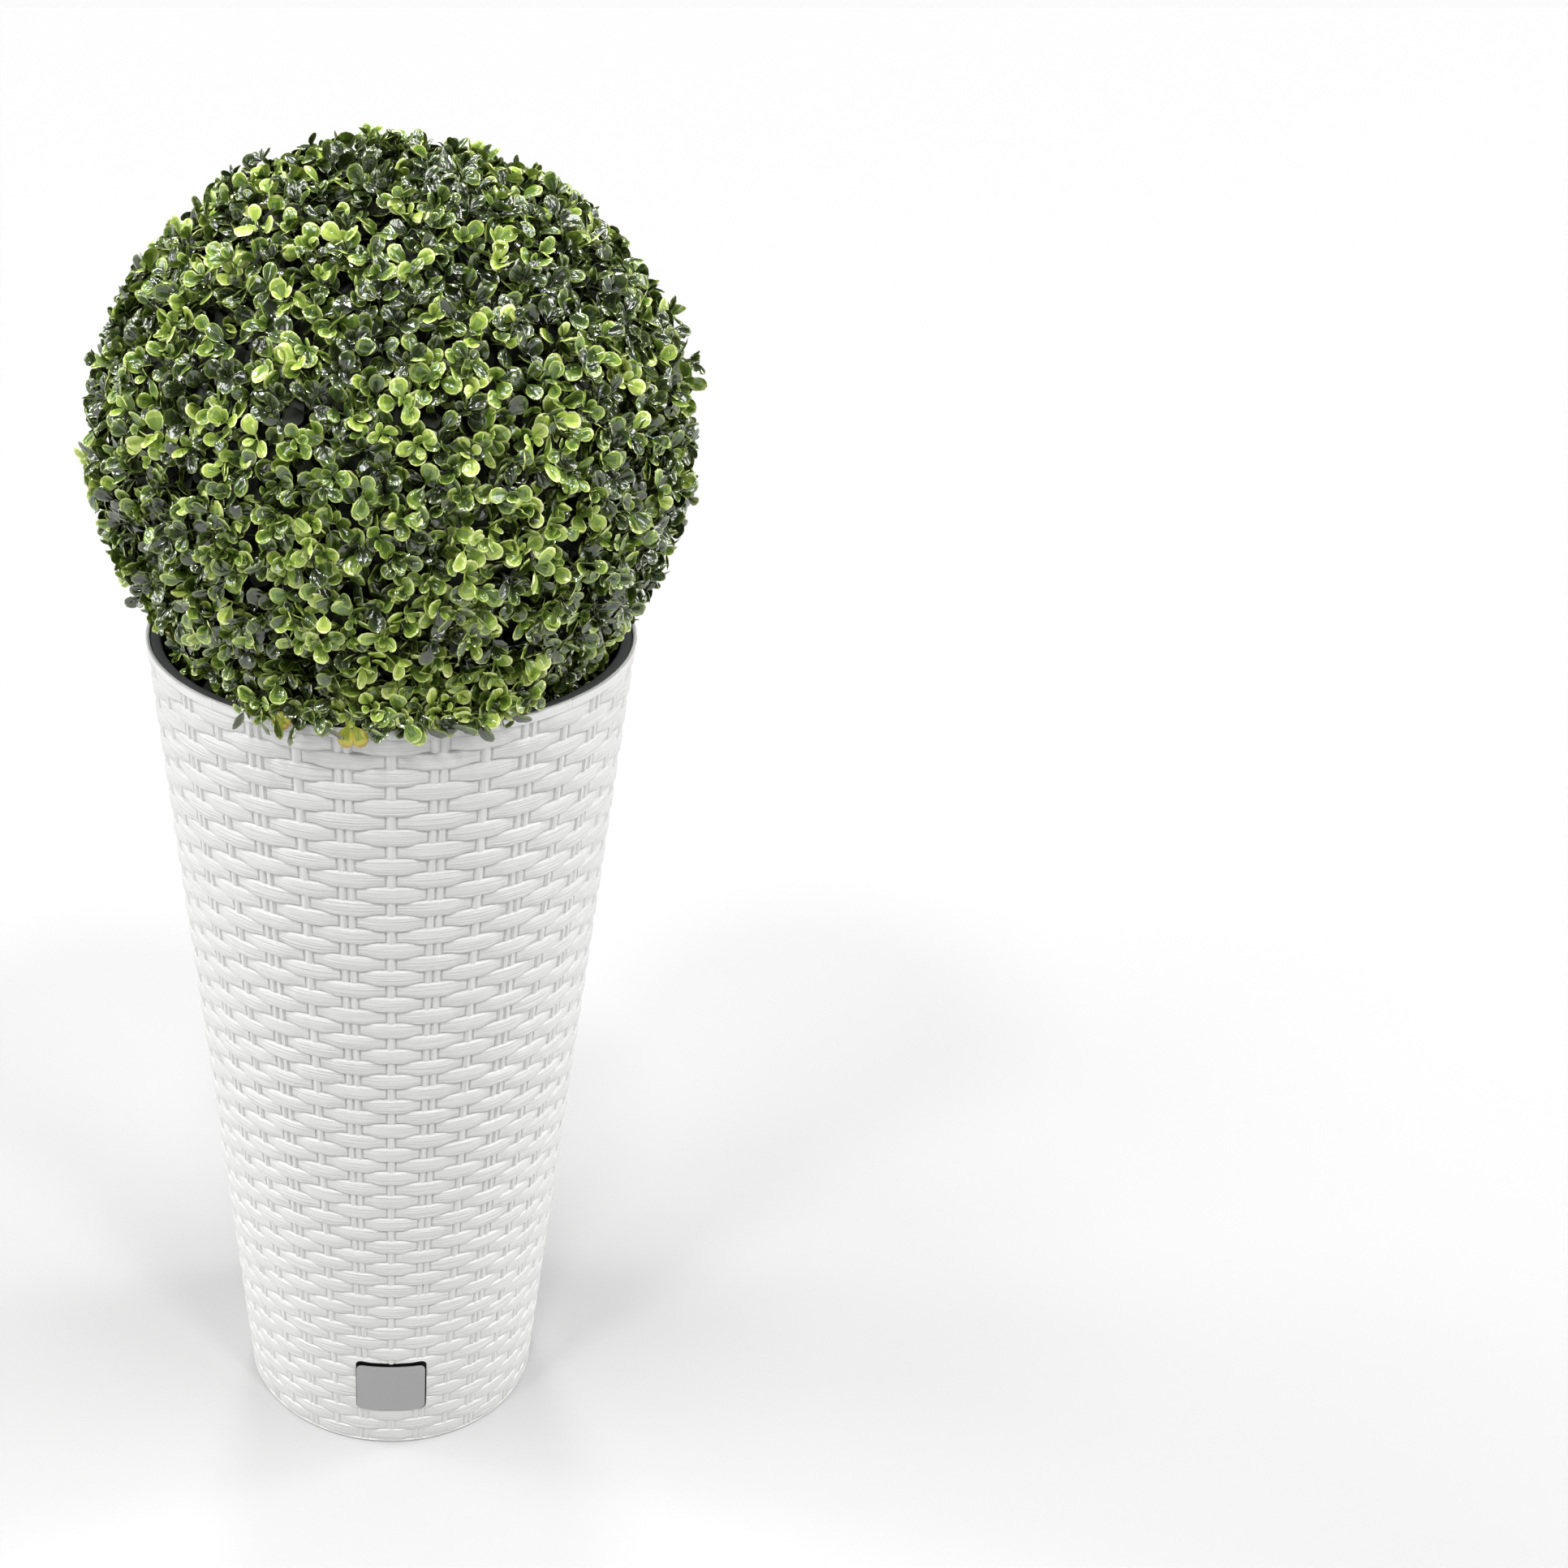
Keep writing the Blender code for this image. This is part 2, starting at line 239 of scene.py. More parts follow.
@dataclass(frozen=True)
class RattanLookPolypropylene:
    """White polypropylene moulded against a tool cut like split cane.

    Long fine ridges run along each strand, so the satin skin breaks its highlights into thin
    lines. On such a moulding they are under a millimetre apart and a tenth or two high, which
    is too fine to show from where the whole planter is seen. They are drawn coarser and higher.

    Attributes:
        name: The material's name.
        colour: sRGB colour of the plastic.
        shade: sRGB colour between the ridges: a little dust, and painted shade in the hollows.
        roughness: Satin gloss of the moulded skin.
        ridge_mm: Distance between two ridges.
        ridge_length_mm: Length over which a ridge keeps its height.
        ridge_depth_mm: Height of the ridges.
        detail: Octaves of finer ridges on the ridges.
    """

    name: str = "rattan_look_white_polypropylene"
    colour: str = "#E0E0DF"
    # Darker between the ridges: a little dust, and painted shade in the hollows.
    shade: str = "#BCBCBB"
    roughness: float = 0.6
    ridge_mm: float = 1.5
    ridge_length_mm: float = 70.0
    ridge_depth_mm: float = 1.5
    detail: float = 3.5

    def material(self) -> bpy.types.Material:
        """Builds the Blender material, whose ridges follow the strands' own UV map.

        Returns:
            The material.
        """
        material, shader = new_shader(self.name)
        tree = material.node_tree
        strand = add_node(tree, "ShaderNodeUVMap", {"uv_map": WovenShell.STRAND_MAP})
        stretch = (1.0 / (self.ridge_length_mm * MM), 1.0 / (self.ridge_mm * MM), 1.0)
        along = add_node(
            tree,
            "ShaderNodeMapping",
            inputs={"Vector": strand.outputs["UV"], "Scale": stretch},
        )
        ridges = add_node(
            tree,
            "ShaderNodeTexNoise",
            inputs={"Vector": along.outputs["Vector"], "Scale": 1.0, "Detail": self.detail},
        )
        dress_relief(
            material,
            shader,
            ridges.outputs["Fac"],
            self.shade,
            self.colour,
            self.ridge_depth_mm * MM,
        )
        shader.inputs["Roughness"].default_value = self.roughness
        return material


@dataclass(frozen=True)
class PolishedLeafPlastic:
    """Polyethylene moulded in a polished tool, with a glossy skin.

    The thin leaf shrinks as it cools, and the fine ripple that this leaves tears its white
    highlights into streaks.

    Attributes:
        name: The material's name.
        colour: sRGB base colour.
        gloss: IOR of the coat, 1.55 for young matt leaves and 1.85 for dark waxy ones, which
            is above polyethylene's own, as the real skin glints more than a flat coat does.
        ripple_mm: Size of one ripple.
        ripple_depth_mm: Height of the ripples.
        ripple_detail: Octaves of finer ripples on the ripples.
        ior: Polyethylene's index of refraction.
        body_specular: Share of the gloss that the plastic under the coat keeps.
        body_roughness: Roughness of the plastic under the coat.
        skin_roughness: Roughness of the coat.
    """

    name: str
    colour: str
    gloss: float
    ripple_mm: float = 3.2
    ripple_depth_mm: float = 0.22
    ripple_detail: float = 2.0
    ior: float = 1.51
    body_specular: float = 0.15
    body_roughness: float = 0.42
    skin_roughness: float = 0.1

    def material(self) -> bpy.types.Material:
        """Builds the Blender material, with the gloss of the skin as a coat.

        Returns:
            The material.
        """
        material, shader = new_shader(self.name)
        tree = material.node_tree
        place = add_node(tree, "ShaderNodeTexCoord")
        ripple = add_node(
            tree,
            "ShaderNodeTexNoise",
            inputs={
                "Vector": place.outputs["Object"],
                "Scale": 1.0 / (self.ripple_mm * MM),
                "Detail": self.ripple_detail,
            },
        )
        bump = add_node(
            tree,
            "ShaderNodeBump",
            inputs={"Height": ripple.outputs["Fac"], "Distance": self.ripple_depth_mm * MM},
        )
        tree.links.new(bump.outputs["Normal"], shader.inputs["Normal"])
        tree.links.new(bump.outputs["Normal"], shader.inputs["Coat Normal"])
        shader.inputs["Base Color"].default_value = linear(self.colour)
        shader.inputs["Roughness"].default_value = self.body_roughness
        shader.inputs["IOR"].default_value = self.ior
        shader.inputs["Specular IOR Level"].default_value = self.body_specular
        shader.inputs["Coat Weight"].default_value = 1.0
        shader.inputs["Coat Roughness"].default_value = self.skin_roughness
        shader.inputs["Coat IOR"].default_value = self.gloss
        return material


class LeafTint(Enum):
    """The shades of moulded leaf that are mixed over the ball: (heart, blade, margin). The pale
    margin is partly the leaf's own paler edge and partly a painted highlight on its lit edge.

    INNER, near black, is for leaves at a twig's foot: painted shade deep in the ball. AMBER is
    for a few yellowed ones. The five between them run from dark to light.
    """

    # Near black in every zone: painted shade deep in the ball.
    INNER = ("#0E1606", "#121C08", "#18220A")
    SHADE = ("#202C0D", "#2E4014", "#5C6A30")
    DEEP = ("#334616", "#4A6220", "#90A24C")
    GARDEN = ("#546E24", "#769433", "#BECA72")
    FRESH = ("#7A963A", "#A0B84A", "#D6E090")
    LIME = ("#A4BC50", "#C0D266", "#E8F0AA")
    AMBER = ("#848E30", "#AEA83C", "#A88C3C")

    @property
    def label(self) -> str:
        """The tint's name for pieces and materials."""
        return self.name.lower()

    def finish_name(self, zone: str) -> str:
        """The name of the polyethylene of one zone of the leaf."""
        return f"moulded_leaf_polyethylene_{self.label}_{zone}"

    def finishes(self) -> list[PolishedLeafPlastic | MouldedPlastic]:
        """The polyethylene of the leaf's zones, which is dull with dust deep inside the ball.

        Returns:
            The finishes of its heart, blade and margin.
        """
        zones = zip(("heart", "blade", "margin"), self.value)
        if self is LeafTint.INNER:
            dusty = 0.65
            return [MouldedPlastic(self.finish_name(zone), hue, dusty) for zone, hue in zones]
        gloss = {LeafTint.SHADE: 1.85, LeafTint.DEEP: 1.8, LeafTint.GARDEN: 1.68}.get(self, 1.55)
        return [PolishedLeafPlastic(self.finish_name(zone), hue, gloss) for zone, hue in zones]


def mesh_object(name: str, points: Points, faces: Faces, materials: list[bpy.types.Material],
                zones: Faces | None = None) -> bpy.types.Object:
    """Makes a smooth mesh object from arrays of points and of equal-sided faces.

    Args:
        name: The piece's name.
        points: One row of X, Y and Z for each point.
        faces: One row of point indices for each face.
        materials: The materials of the slots.
        zones: The slot of each face, or None for slot 0 everywhere.

    Returns:
        The object, linked to the scene.
    """
    count, sides = faces.shape
    mesh = bpy.data.meshes.new(name)
    mesh.vertices.add(len(points))
    mesh.vertices.foreach_set("co", points.astype(np.float32).ravel())
    mesh.loops.add(count * sides)
    mesh.loops.foreach_set("vertex_index", faces.astype(np.int32).ravel())
    mesh.polygons.add(count)
    mesh.polygons.foreach_set("loop_start", np.arange(0, count * sides, sides, dtype=np.int32))
    if zones is not None:
        mesh.polygons.foreach_set("material_index", zones.astype(np.int32))
    for material in materials:
        mesh.materials.append(material)
    mesh.update(calc_edges=True)
    mesh.shade_smooth()
    piece = bpy.data.objects.new(name, mesh)
    bpy.context.scene.collection.objects.link(piece)
    return piece


def ring_faces(columns: int, stations: int, closed: bool) -> Faces:
    """Faces of a surface wrapped round the Z axis, facing out where the stations run down.

    Args:
        columns: Number of columns round the axis. The last one joins the first.
        stations: Number of points down each column. Point j of column i has index i * stations + j.
        closed: True if the last station joins the first.

    Returns:
        One row of four indices for each face.
    """
    steps = stations if closed else stations - 1
    i, j = np.meshgrid(np.arange(columns), np.arange(steps), indexing="ij")
    beside, below = (i + 1) % columns, (j + 1) % stations
    corners = (
        i * stations + j,
        i * stations + below,
        beside * stations + below,
        beside * stations + j,
    )
    return np.stack(corners, axis=-1).reshape(-1, 4)


def turned_piece(name: str, profile: list[tuple[float, float]], columns: int,
                 material: bpy.types.Material, closed: bool = False) -> bpy.types.Object:
    """Turns a profile about the Z axis.

    Args:
        name: The piece's name.
        profile: (radius, height) points that run down the outer side, in metres.
        columns: Number of steps round the axis.
        material: The piece's material.
        closed: True if the last point of the profile joins the first.

    Returns:
        The turned piece, with points on the axis merged.
    """
    turn = FRONT + math.tau * np.arange(columns) / columns
    radius, height = np.array(profile).T
    points = np.stack(
        [
            np.outer(np.cos(turn), radius),
            np.outer(np.sin(turn), radius),
            np.outer(np.ones(columns), height),
        ],
        axis=-1,
    ).reshape(-1, 3)
    piece = mesh_object(name, points, ring_faces(columns, len(profile), closed), [material])
    weld(piece)
    return piece


def weld(piece: bpy.types.Object) -> None:
    """Merges points that coincide, and keeps edges sharper than a crease crisp.

    Args:
        piece: The mesh object, changed in place.
    """
    bm = bmesh.new()
    bm.from_mesh(piece.data)
    bmesh.ops.remove_doubles(bm, verts=bm.verts, dist=WELD_DISTANCE)
    bm.to_mesh(piece.data)
    bm.free()
    piece.data.set_sharp_from_angle(angle=CREASE)


def apply_modifiers(piece: bpy.types.Object) -> None:
    """Replaces a piece's mesh with the one that its modifiers make.

    Args:
        piece: The mesh object, changed in place.
    """
    graph = bpy.context.evaluated_depsgraph_get()
    mesh = bpy.data.meshes.new_from_object(piece.evaluated_get(graph))
    piece.modifiers.clear()
    piece.data = mesh


def settle(piece: bpy.types.Object, slot: str, *nodes: str) -> None:
    """Puts a finished piece on the body, in place of its CAD nodes.

    Args:
        piece: The finished piece.
        slot: The record's material slot. It is not used.
        nodes: The CAD nodes that it stands for.
    """
    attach(piece, BODY)
    if nodes:
        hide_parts(*nodes)
    LOG.info("%s: %d faces", piece.name, len(piece.data.polygons))


@dataclass
class WovenShell:
    """The tapered white shell, whose wall is moulded as a plain weave of strands over stakes.

    Single stakes alternate with pairs. Even strands pass over the single stakes and odd
    strands over the pairs. Heights along the wall are measured down it from the rim.

    Attributes:
        height: Height of the rim above the floor.
        rim_radius: Outer radius at the rim.
        base_radius: Outer radius at the foot.
        wall: Thickness of the wall.
        floor: Thickness of the floor.
        stakes: Number of stakes round the shell, a pair counted as one.
        rows: Number of strands, one above the other.
        pitch: Height of a strand.
        rim_band: Height of the plain band above the first strand.
        lip: Thickness of the rim's lip.
        ledge: Depth below the rim of the ledge that carries the liner.
        relief: How far a strand lies deeper behind a stake than over one.
        swell: How far a strand widens where it passes over a stake.
        crown: How far its edges lie deeper than its middle.
        crown_power: How flat its middle is, 2 for a round strand and more for a flatter one.
        crown_bias: How much less it is crowned where it passes over a stake, and more behind.
        groove: Depth of the line between two strands.
        bar_depth: Depth of a stake's face below the strands' crests.
        bar_round: How far a stake's edges lie deeper than its face.
        slot_depth: Depth of the dark slots beside a stake.
        base_fade: Share of the whole relief that is lost from mid height to the foot.
        split_row: The row at which the upper piece ends and the lower one begins.
    """

    height: float
    rim_radius: float
    base_radius: float
    wall: float = 6.0 * MM
    floor: float = 5.0 * MM
    stakes: int = 34
    rows: int = 57
    pitch: float = 13.18 * MM
    rim_band: float = 8.5 * MM
    lip: float = 3.4 * MM
    ledge: float = 5.5 * MM
    relief: float = 1.65 * MM
    swell: float = 0.6 * MM
    crown: float = 1.35 * MM
    crown_power: float = 3.2
    crown_bias: float = 0.35
    groove: float = 0.25 * MM
    bar_depth: float = 0.8 * MM
    bar_round: float = 1.7 * MM
    slot_depth: float = 3.2 * MM
    base_fade: float = 0.6
    split_row: int = 28

    STRAND_MAP = "strand"
    PLAIN_STEP = 2.0 * MM  # what a plain station adds to the strand coordinate
    NEAR = 1e-6

    # Distances from the middle of a stake, in stakes: the columns of points beside a single
    # stake and beside a pair, the edges of their bars, and the dark slots next to those.
    SINGLE_COLUMNS = (0.0, 0.055, 0.096, 0.110, 0.130, 0.155, 0.25, 0.36)
    DOUBLE_COLUMNS = (0.0, 0.022, 0.06, 0.140, 0.178, 0.194, 0.214, 0.24, 0.33, 0.42)
    SINGLE_HALF = 0.096
    DOUBLE_INNER = 0.022
    DOUBLE_OUTER = 0.178
    SINGLE_SLOT = (0.110, 0.130)
    DOUBLE_SLOT = (0.194, 0.214)
    SECTIONS = (0.0, 0.07, 0.22, 0.80, 0.94)  # stations across a strand, as shares of its height

    def slant(self) -> float:
        """Length of the wall from rim to base."""
        return math.hypot(self.height, self.rim_radius - self.base_radius)

    def wall_radius(self, z: Points | float) -> Points | float:
        """Radius of the wall at the strands' crests, at a height above the floor."""
        return self.base_radius + (self.rim_radius - self.base_radius) * z / self.height

    def columns(self) -> Points:
        """Places of the columns of points round the shell.

        Returns:
            The places, in stakes from the front one.
        """

        def both_sides(offsets: tuple[float, ...]) -> list[float]:
            """Offsets to the left and the right of a stake's middle."""
            return [-x for x in reversed(offsets[1:])] + list(offsets)

        pair = [*both_sides(self.SINGLE_COLUMNS), 0.5]
        pair += [*(1.0 + x for x in both_sides(self.DOUBLE_COLUMNS)), 1.5]
        pairs = self.stakes // 2
        first = 2.0 * (np.arange(pairs) - pairs // 2)
        return (first[:, None] + np.array(pair)).ravel()

    def crossing(self, place: Points, row: int) -> Points:
        """How a strand weaves in and out.

        Args:
            place: Places round the shell, in stakes.
            row: The strand.

        Returns:
            1 where it passes over a stake, and -1 where it passes behind.
        """
        wave = np.cos(np.pi * (place + row))
        for _ in range(2):  # each turn of this cubic flattens the crests of the wave
            wave = wave * (1.5 - 0.5 * wave**2)
        return wave

    def edge(self, place: Points, row: int) -> Points:
        """The edge above a strand, which bends so that the strand in front is the taller.

        Args:
            place: Places round the shell, in stakes.
            row: The strand.

        Returns:
            The edge's distance down the wall at each place, in metres.
        """
        level = np.full_like(place, self.rim_band + self.pitch * row)
        if 0 < row < self.rows:
            level += self.swell * self.crossing(place, row - 1)
        return level

    def behind_stake(self, place: Points, row: int) -> NDArray[np.bool_]:
        """True where a stake stands in front of the strand."""
        return (np.round(place) + row) % 2 == 1

    def on_bar(self, place: Points) -> NDArray[np.bool_]:
        """Tells which places are on the face of a single stake, or of one of a pair.

        Args:
            place: Places round the shell, in stakes.

        Returns:
            True at each place that is.
        """
        aside, double = self.beside_stake(place)
        single_bar = aside < self.SINGLE_HALF + self.NEAR
        double_bar = self.between(aside, self.DOUBLE_INNER, self.DOUBLE_OUTER)
        return np.where(double, double_bar, single_bar)

    @staticmethod
    def beside_stake(place: Points) -> tuple[Points, NDArray[np.bool_]]:
        """Distance from the middle of the nearest stake, in stakes, and True where it is a pair."""
        return np.abs(place - np.round(place)), np.round(place) % 2 == 1

    def between(self, aside: Points, low: float, high: float) -> NDArray[np.bool_]:
        """True from low to high, with both ends."""
        return (aside > low - self.NEAR) & (aside < high + self.NEAR)

    def depth(self, place: Points, row: int, share: float) -> Points:
        """Depth of the moulding below the crests.

        Args:
            place: Places round the shell, in stakes.
            row: The strand.
            share: Where across the strand, from 0 at its upper edge to 1 at its lower one.

        Returns:
            The depth at each place, in metres.
        """
        over = self.crossing(place, row)
        aside, double = self.beside_stake(place)
        middle = (self.DOUBLE_INNER + self.DOUBLE_OUTER) / 2
        half = (self.DOUBLE_OUTER - self.DOUBLE_INNER) / 2
        off_bar = np.where(double, np.abs(aside - middle) / half, aside / self.SINGLE_HALF)
        bar = self.bar_depth + self.bar_round * off_bar**2
        crown = self.crown * abs(2 * share - 1) ** self.crown_power * (1.0 - self.crown_bias * over)
        strand = self.relief * (1 - over) / 2 + crown
        single_slot = self.between(aside, *self.SINGLE_SLOT)
        double_slot = self.between(aside, *self.DOUBLE_SLOT) | (aside < self.NEAR)
        slot = np.where(double, double_slot, single_slot)
        behind = self.behind_stake(place, row)
        strand = np.where(behind & self.on_bar(place), bar, strand)
        fade = 1.0 - self.base_fade * max(0.0, 2.0 * row / self.rows - 1.0)
        return fade * np.where(behind & slot, self.slot_depth, strand)

    def stations(self, place: Points, first: int,
                 last: int) -> tuple[list[Points], list[Points], list[float]]:
        """Stations down the woven wall, from the edge above one row to the edge above another.

        Args:
            place: Places of the columns, in stakes.
            first: The first row.
            last: The row after the last one.

        Returns:
            For each station the distance down the wall, the depth and the strand coordinate.
        """
        downs, depths, across = [], [], []
        for row in range(first, last + 1):
            upper = self.edge(place, row)
            above = self.depth(place, max(row - 1, 0), 1.0)
            below = self.depth(place, min(row, self.rows - 1), 0.0)
            downs.append(upper)
            depths.append(np.maximum(above, below) + self.groove)
            across.append(row * self.pitch)
            if row == last:
                break
            lower = self.edge(place, row + 1)
            for share in self.SECTIONS[1:]:
                downs.append(upper + share * (lower - upper))
                depths.append(self.depth(place, row, share))
                across.append((row + share) * self.pitch)
        return downs, depths, across

    def wall_points(self, down: Points, depth: Points) -> tuple[Points, Points]:
        """Places points on the wall.

        Args:
            down: Their distances down the wall from the rim.
            depth: Their depths below the strands' crests.

        Returns:
            Their radii and heights.
        """
        lean = math.atan2(self.rim_radius - self.base_radius, self.height)
        z = self.height - down * math.cos(lean)
        return self.wall_radius(z) - depth / math.cos(lean), z

    def band(self, name: str, first: int, last: int, before: list[tuple[float, float]],
             after: list[tuple[float, float]], closed: bool,
             material: bpy.types.Material) -> bpy.types.Object:
        """One ring of the shell: plain stations, then woven rows, then plain stations.

        Args:
            name: The piece's name.
            first: The first woven row.
            last: The row after the last one.
            before: (radius, height) stations that lead to the woven wall.
            after: Stations that follow it.
            closed: True if the last station joins the first.
            material: The shell's plastic.

        Returns:
            The ring, with a UV map along its strands.
        """
        place = self.columns()
        downs, depths, across = self.stations(place, first, last)
        woven = [self.wall_points(down, depth) for down, depth in zip(downs, depths)]

        def plain(pair: tuple[float, float]) -> tuple[Points, Points]:
            """The same radius and height at every column."""
            return np.full_like(place, pair[0]), np.full_like(place, pair[1])

        stations = [plain(pair) for pair in before] + woven + [plain(pair) for pair in after]
        turn = FRONT + place * math.tau / self.stakes
        radius = np.stack([r for r, _ in stations], axis=1)
        height = np.stack([z for _, z in stations], axis=1)
        points = np.stack(
            [radius * np.cos(turn)[:, None], radius * np.sin(turn)[:, None], height], axis=-1
        )
        count = len(stations)
        faces = ring_faces(len(place), count, closed)
        piece = mesh_object(name, points.reshape(-1, 3), faces, [material])
        rim, foot, step = across[0], across[-1], self.PLAIN_STEP
        lengths = [rim - step * (len(before) - n) for n in range(len(before))] + across
        lengths += [foot + step * (n + 1) for n in range(len(after))]
        self.map_strands(piece, place, np.array(lengths), faces, len(before), first)
        weld(piece)
        return piece

    def map_strands(self, piece: bpy.types.Object, place: Points, across: Points, faces: Faces,
                    lead: int, first: int) -> None:
        """Lays a UV map in metres along each strand, and up and down each stake.

        Args:
            piece: The ring.
            place: Places of the columns, in stakes.
            across: The strand coordinate of each station.
            faces: The ring's faces.
            lead: Number of plain stations before the woven ones.
            first: The first woven row.
        """
        count = len(across)
        column, station = faces // count, faces % count
        spacing = math.tau * (self.rim_radius + self.base_radius) / 2 / self.stakes
        along = place[column] * spacing
        wrapped = (column == 0) & (column[:, :1] == len(place) - 1)
        along = np.where(wrapped, along + self.stakes * spacing, along)
        level = across[station]
        row = first + (station.min(axis=1) - lead) // len(self.SECTIONS)
        middle = place[column[:, 0]]
        beside = np.where(wrapped.any(axis=1), middle, place[column[:, 2]])
        behind = self.behind_stake((middle + beside) / 2, row)
        stake = behind & self.on_bar(middle) & self.on_bar(beside)
        up_stake, on_strand = np.stack([level, along], axis=-1), np.stack([along, level], axis=-1)
        coordinates = np.where(stake[:, None, None], up_stake, on_strand)
        layer = piece.data.uv_layers.new(name=self.STRAND_MAP)
        layer.uv.foreach_set("vector", coordinates.astype(np.float32).ravel())

    def build(self, pocket: "IndicatorPlate") -> None:
        """Builds the shell's upper and lower rings and cuts the plate's pocket.

        Args:
            pocket: The plate, which knows the opening that it stands in.
        """
        material = RattanLookPolypropylene().material()
        h, rim, split = self.height, self.rim_radius, self.split_row
        lip, ledge = self.lip, h - self.ledge
        cut_down = self.rim_band + self.pitch * split
        cut = h - cut_down * h / self.slant()
        inner_cut = self.wall_radius(cut) - self.wall
        rim_stations = [
            (inner_cut, cut),
            (self.wall_radius(ledge) - self.wall, ledge),
            (rim - lip, ledge),
            (rim - lip, h - 0.9 * MM),
            (rim - lip + 0.3 * MM, h - 0.3 * MM),
            (rim - lip + 0.9 * MM, h),
            (rim - 1.0 * MM, h),
            (rim - 0.35 * MM, h - 0.3 * MM),
            (rim - 0.1 * MM, h - 1.0 * MM),
            (self.wall_radius(h - 7.6 * MM) - 0.1 * MM, h - 7.6 * MM),
        ]
        upper = self.band("planter_shell_upper", 0, split, rim_stations, [], True, material)
        inner_floor = self.wall_radius(self.floor) - self.wall
        lower = self.band(
            "planter_shell_lower",
            split,
            self.rows,
            [(0.0, self.floor), (inner_floor, self.floor), (inner_cut, cut)],
            [
                (self.base_radius, 1.8 * MM),
                (self.base_radius - 0.6 * MM, 0.5 * MM),
                (self.base_radius - 2.0 * MM, 0.0),
                (0.0, 0.0),
            ],
            False,
            material,
        )
        cutter = pocket.opening(self)
        boolean = lower.modifiers.new("pocket", "BOOLEAN")
        boolean.operation = "DIFFERENCE"
        boolean.solver = "MANIFOLD"
        boolean.object = cutter
        apply_modifiers(lower)
        bpy.data.objects.remove(cutter)
        lower.data.set_sharp_from_angle(angle=CREASE)
        settle(upper, "planter_white", "planter_shell")
        settle(lower, "planter_white", "planter_shell")


@dataclass
class IndicatorPlate:
    """The bare grey plate low on the front, in an opening with a dark gap above it.

    Attributes:
        width: The plate's width.
        low: Height of its foot above the floor.
        high: Height of its head.
        corner: Radius of its corners.
        corner_steps: Number of steps round a corner.
        thickness: Its thickness.
        edge_round: Radius of its rounded edges.
        proud: How far its face stands out of the wall.
        side_gap: Gap at its sides and foot.
        shift: How far it sits off the opening's middle.
        head_gap: Gap above it.
        head_dip: How far the strand above the opening sags into the gap.
        seat: How far the black sheet behind the opening, which paints the shade in the gap, keeps
            clear of the opening's edge.
        housing_behind: How far the black sheet reaches behind the shell's wall.
        housing_inside: How far it reaches into the wall.
        cuts: Number of parts that the slabs are cut into, across and upwards, to follow the cone.
    """

    width: float = 62.0 * MM
    low: float = 43.5 * MM
    high: float = 97.8 * MM
    corner: float = 5.5 * MM
    corner_steps: int = 6
    thickness: float = 2.4 * MM
    edge_round: float = 0.7 * MM
    proud: float = 0.6 * MM
    side_gap: float = 0.5 * MM
    shift: float = -0.4 * MM
    head_gap: float = 7.0 * MM
    head_dip: float = 2.4 * MM
    seat: float = 0.05 * MM
    housing_behind: float = 2.0 * MM
    housing_inside: float = 1.6 * MM
    cuts: tuple[int, int] = (14, 10)

    def outline(self, grow: float, head: float, dip: float) -> list[tuple[float, float]]:
        """Points round the rounded outline, as (X, Z).

        Args:
            grow: How far the sides and foot lie outside the plate's own.
            head: How far the head lies above the plate's own.
            dip: How far the middle of the head dips.

        Returns:
            The outline, anticlockwise as seen from the front.
        """
        half = self.width / 2 + grow
        low, high = self.low - grow, self.high + head
        centres = [
            (half - self.corner, low + self.corner, -90),
            (half - self.corner, high - self.corner, 0),
            (self.corner - half, high - self.corner, 90),
            (self.corner - half, low + self.corner, 180),
        ]
        points = []
        for number, (x, z, start) in enumerate(centres):
            for step in range(self.corner_steps + 1):
                turn = math.radians(start + step * 90 / self.corner_steps)
                points.append((x + self.corner * math.cos(turn), z + self.corner * math.sin(turn)))
            if number == 1 and dip:  # half way along the head
                points.append((0.0, high - dip))
        return points

    def slab(self, name: str, shell: WovenShell, outline: list[tuple[float, float]],
             inner: float, outer: float) -> bpy.types.Object:
        """A slab that follows the shell's cone between two offsets from its wall.

        Args:
            name: The piece's name.
            shell: The shell.
            outline: The slab's outline, as (X, Z).
            inner: Offset of its back from the wall.
            outer: Offset of its face.

        Returns:
            The slab as a closed mesh with no material.
        """
        bm = bmesh.new()
        face = bm.faces.new([bm.verts.new((x, 0.0, z)) for x, z in outline])
        bmesh.ops.triangulate(bm, faces=[face])
        across, up = self.cuts
        for direction, reach, count in ((0, self.width, across), (2, self.high - self.low, up)):
            for step in range(1, count):
                normal = Vector((0.0, 0.0, 0.0))
                normal[direction] = 1.0
                origin = Vector((0.0, 0.0, (self.low + self.high) / 2))
                origin[direction] += reach * (step / count - 0.5)
                whole = bm.verts[:] + bm.edges[:] + bm.faces[:]
                bmesh.ops.bisect_plane(bm, geom=whole, plane_co=origin, plane_no=normal)
        pushed = bmesh.ops.extrude_face_region(bm, geom=bm.faces[:])
        back = {item for item in pushed["geom"] if isinstance(item, bmesh.types.BMVert)}
        for vertex in bm.verts:
            offset = inner if vertex in back else outer
            radius = shell.wall_radius(vertex.co.z) + offset
            vertex.co.y = -math.sqrt(radius**2 - vertex.co.x**2)
        bmesh.ops.recalc_face_normals(bm, faces=bm.faces)
        mesh = bpy.data.meshes.new(name)
        bm.to_mesh(mesh)
        bm.free()
        slab = bpy.data.objects.new(name, mesh)
        bpy.context.scene.collection.objects.link(slab)
        return slab

    def opening_grow(self) -> float:
        """How far the opening's sides and foot lie outside the plate's own."""
        return self.side_gap + abs(self.shift)

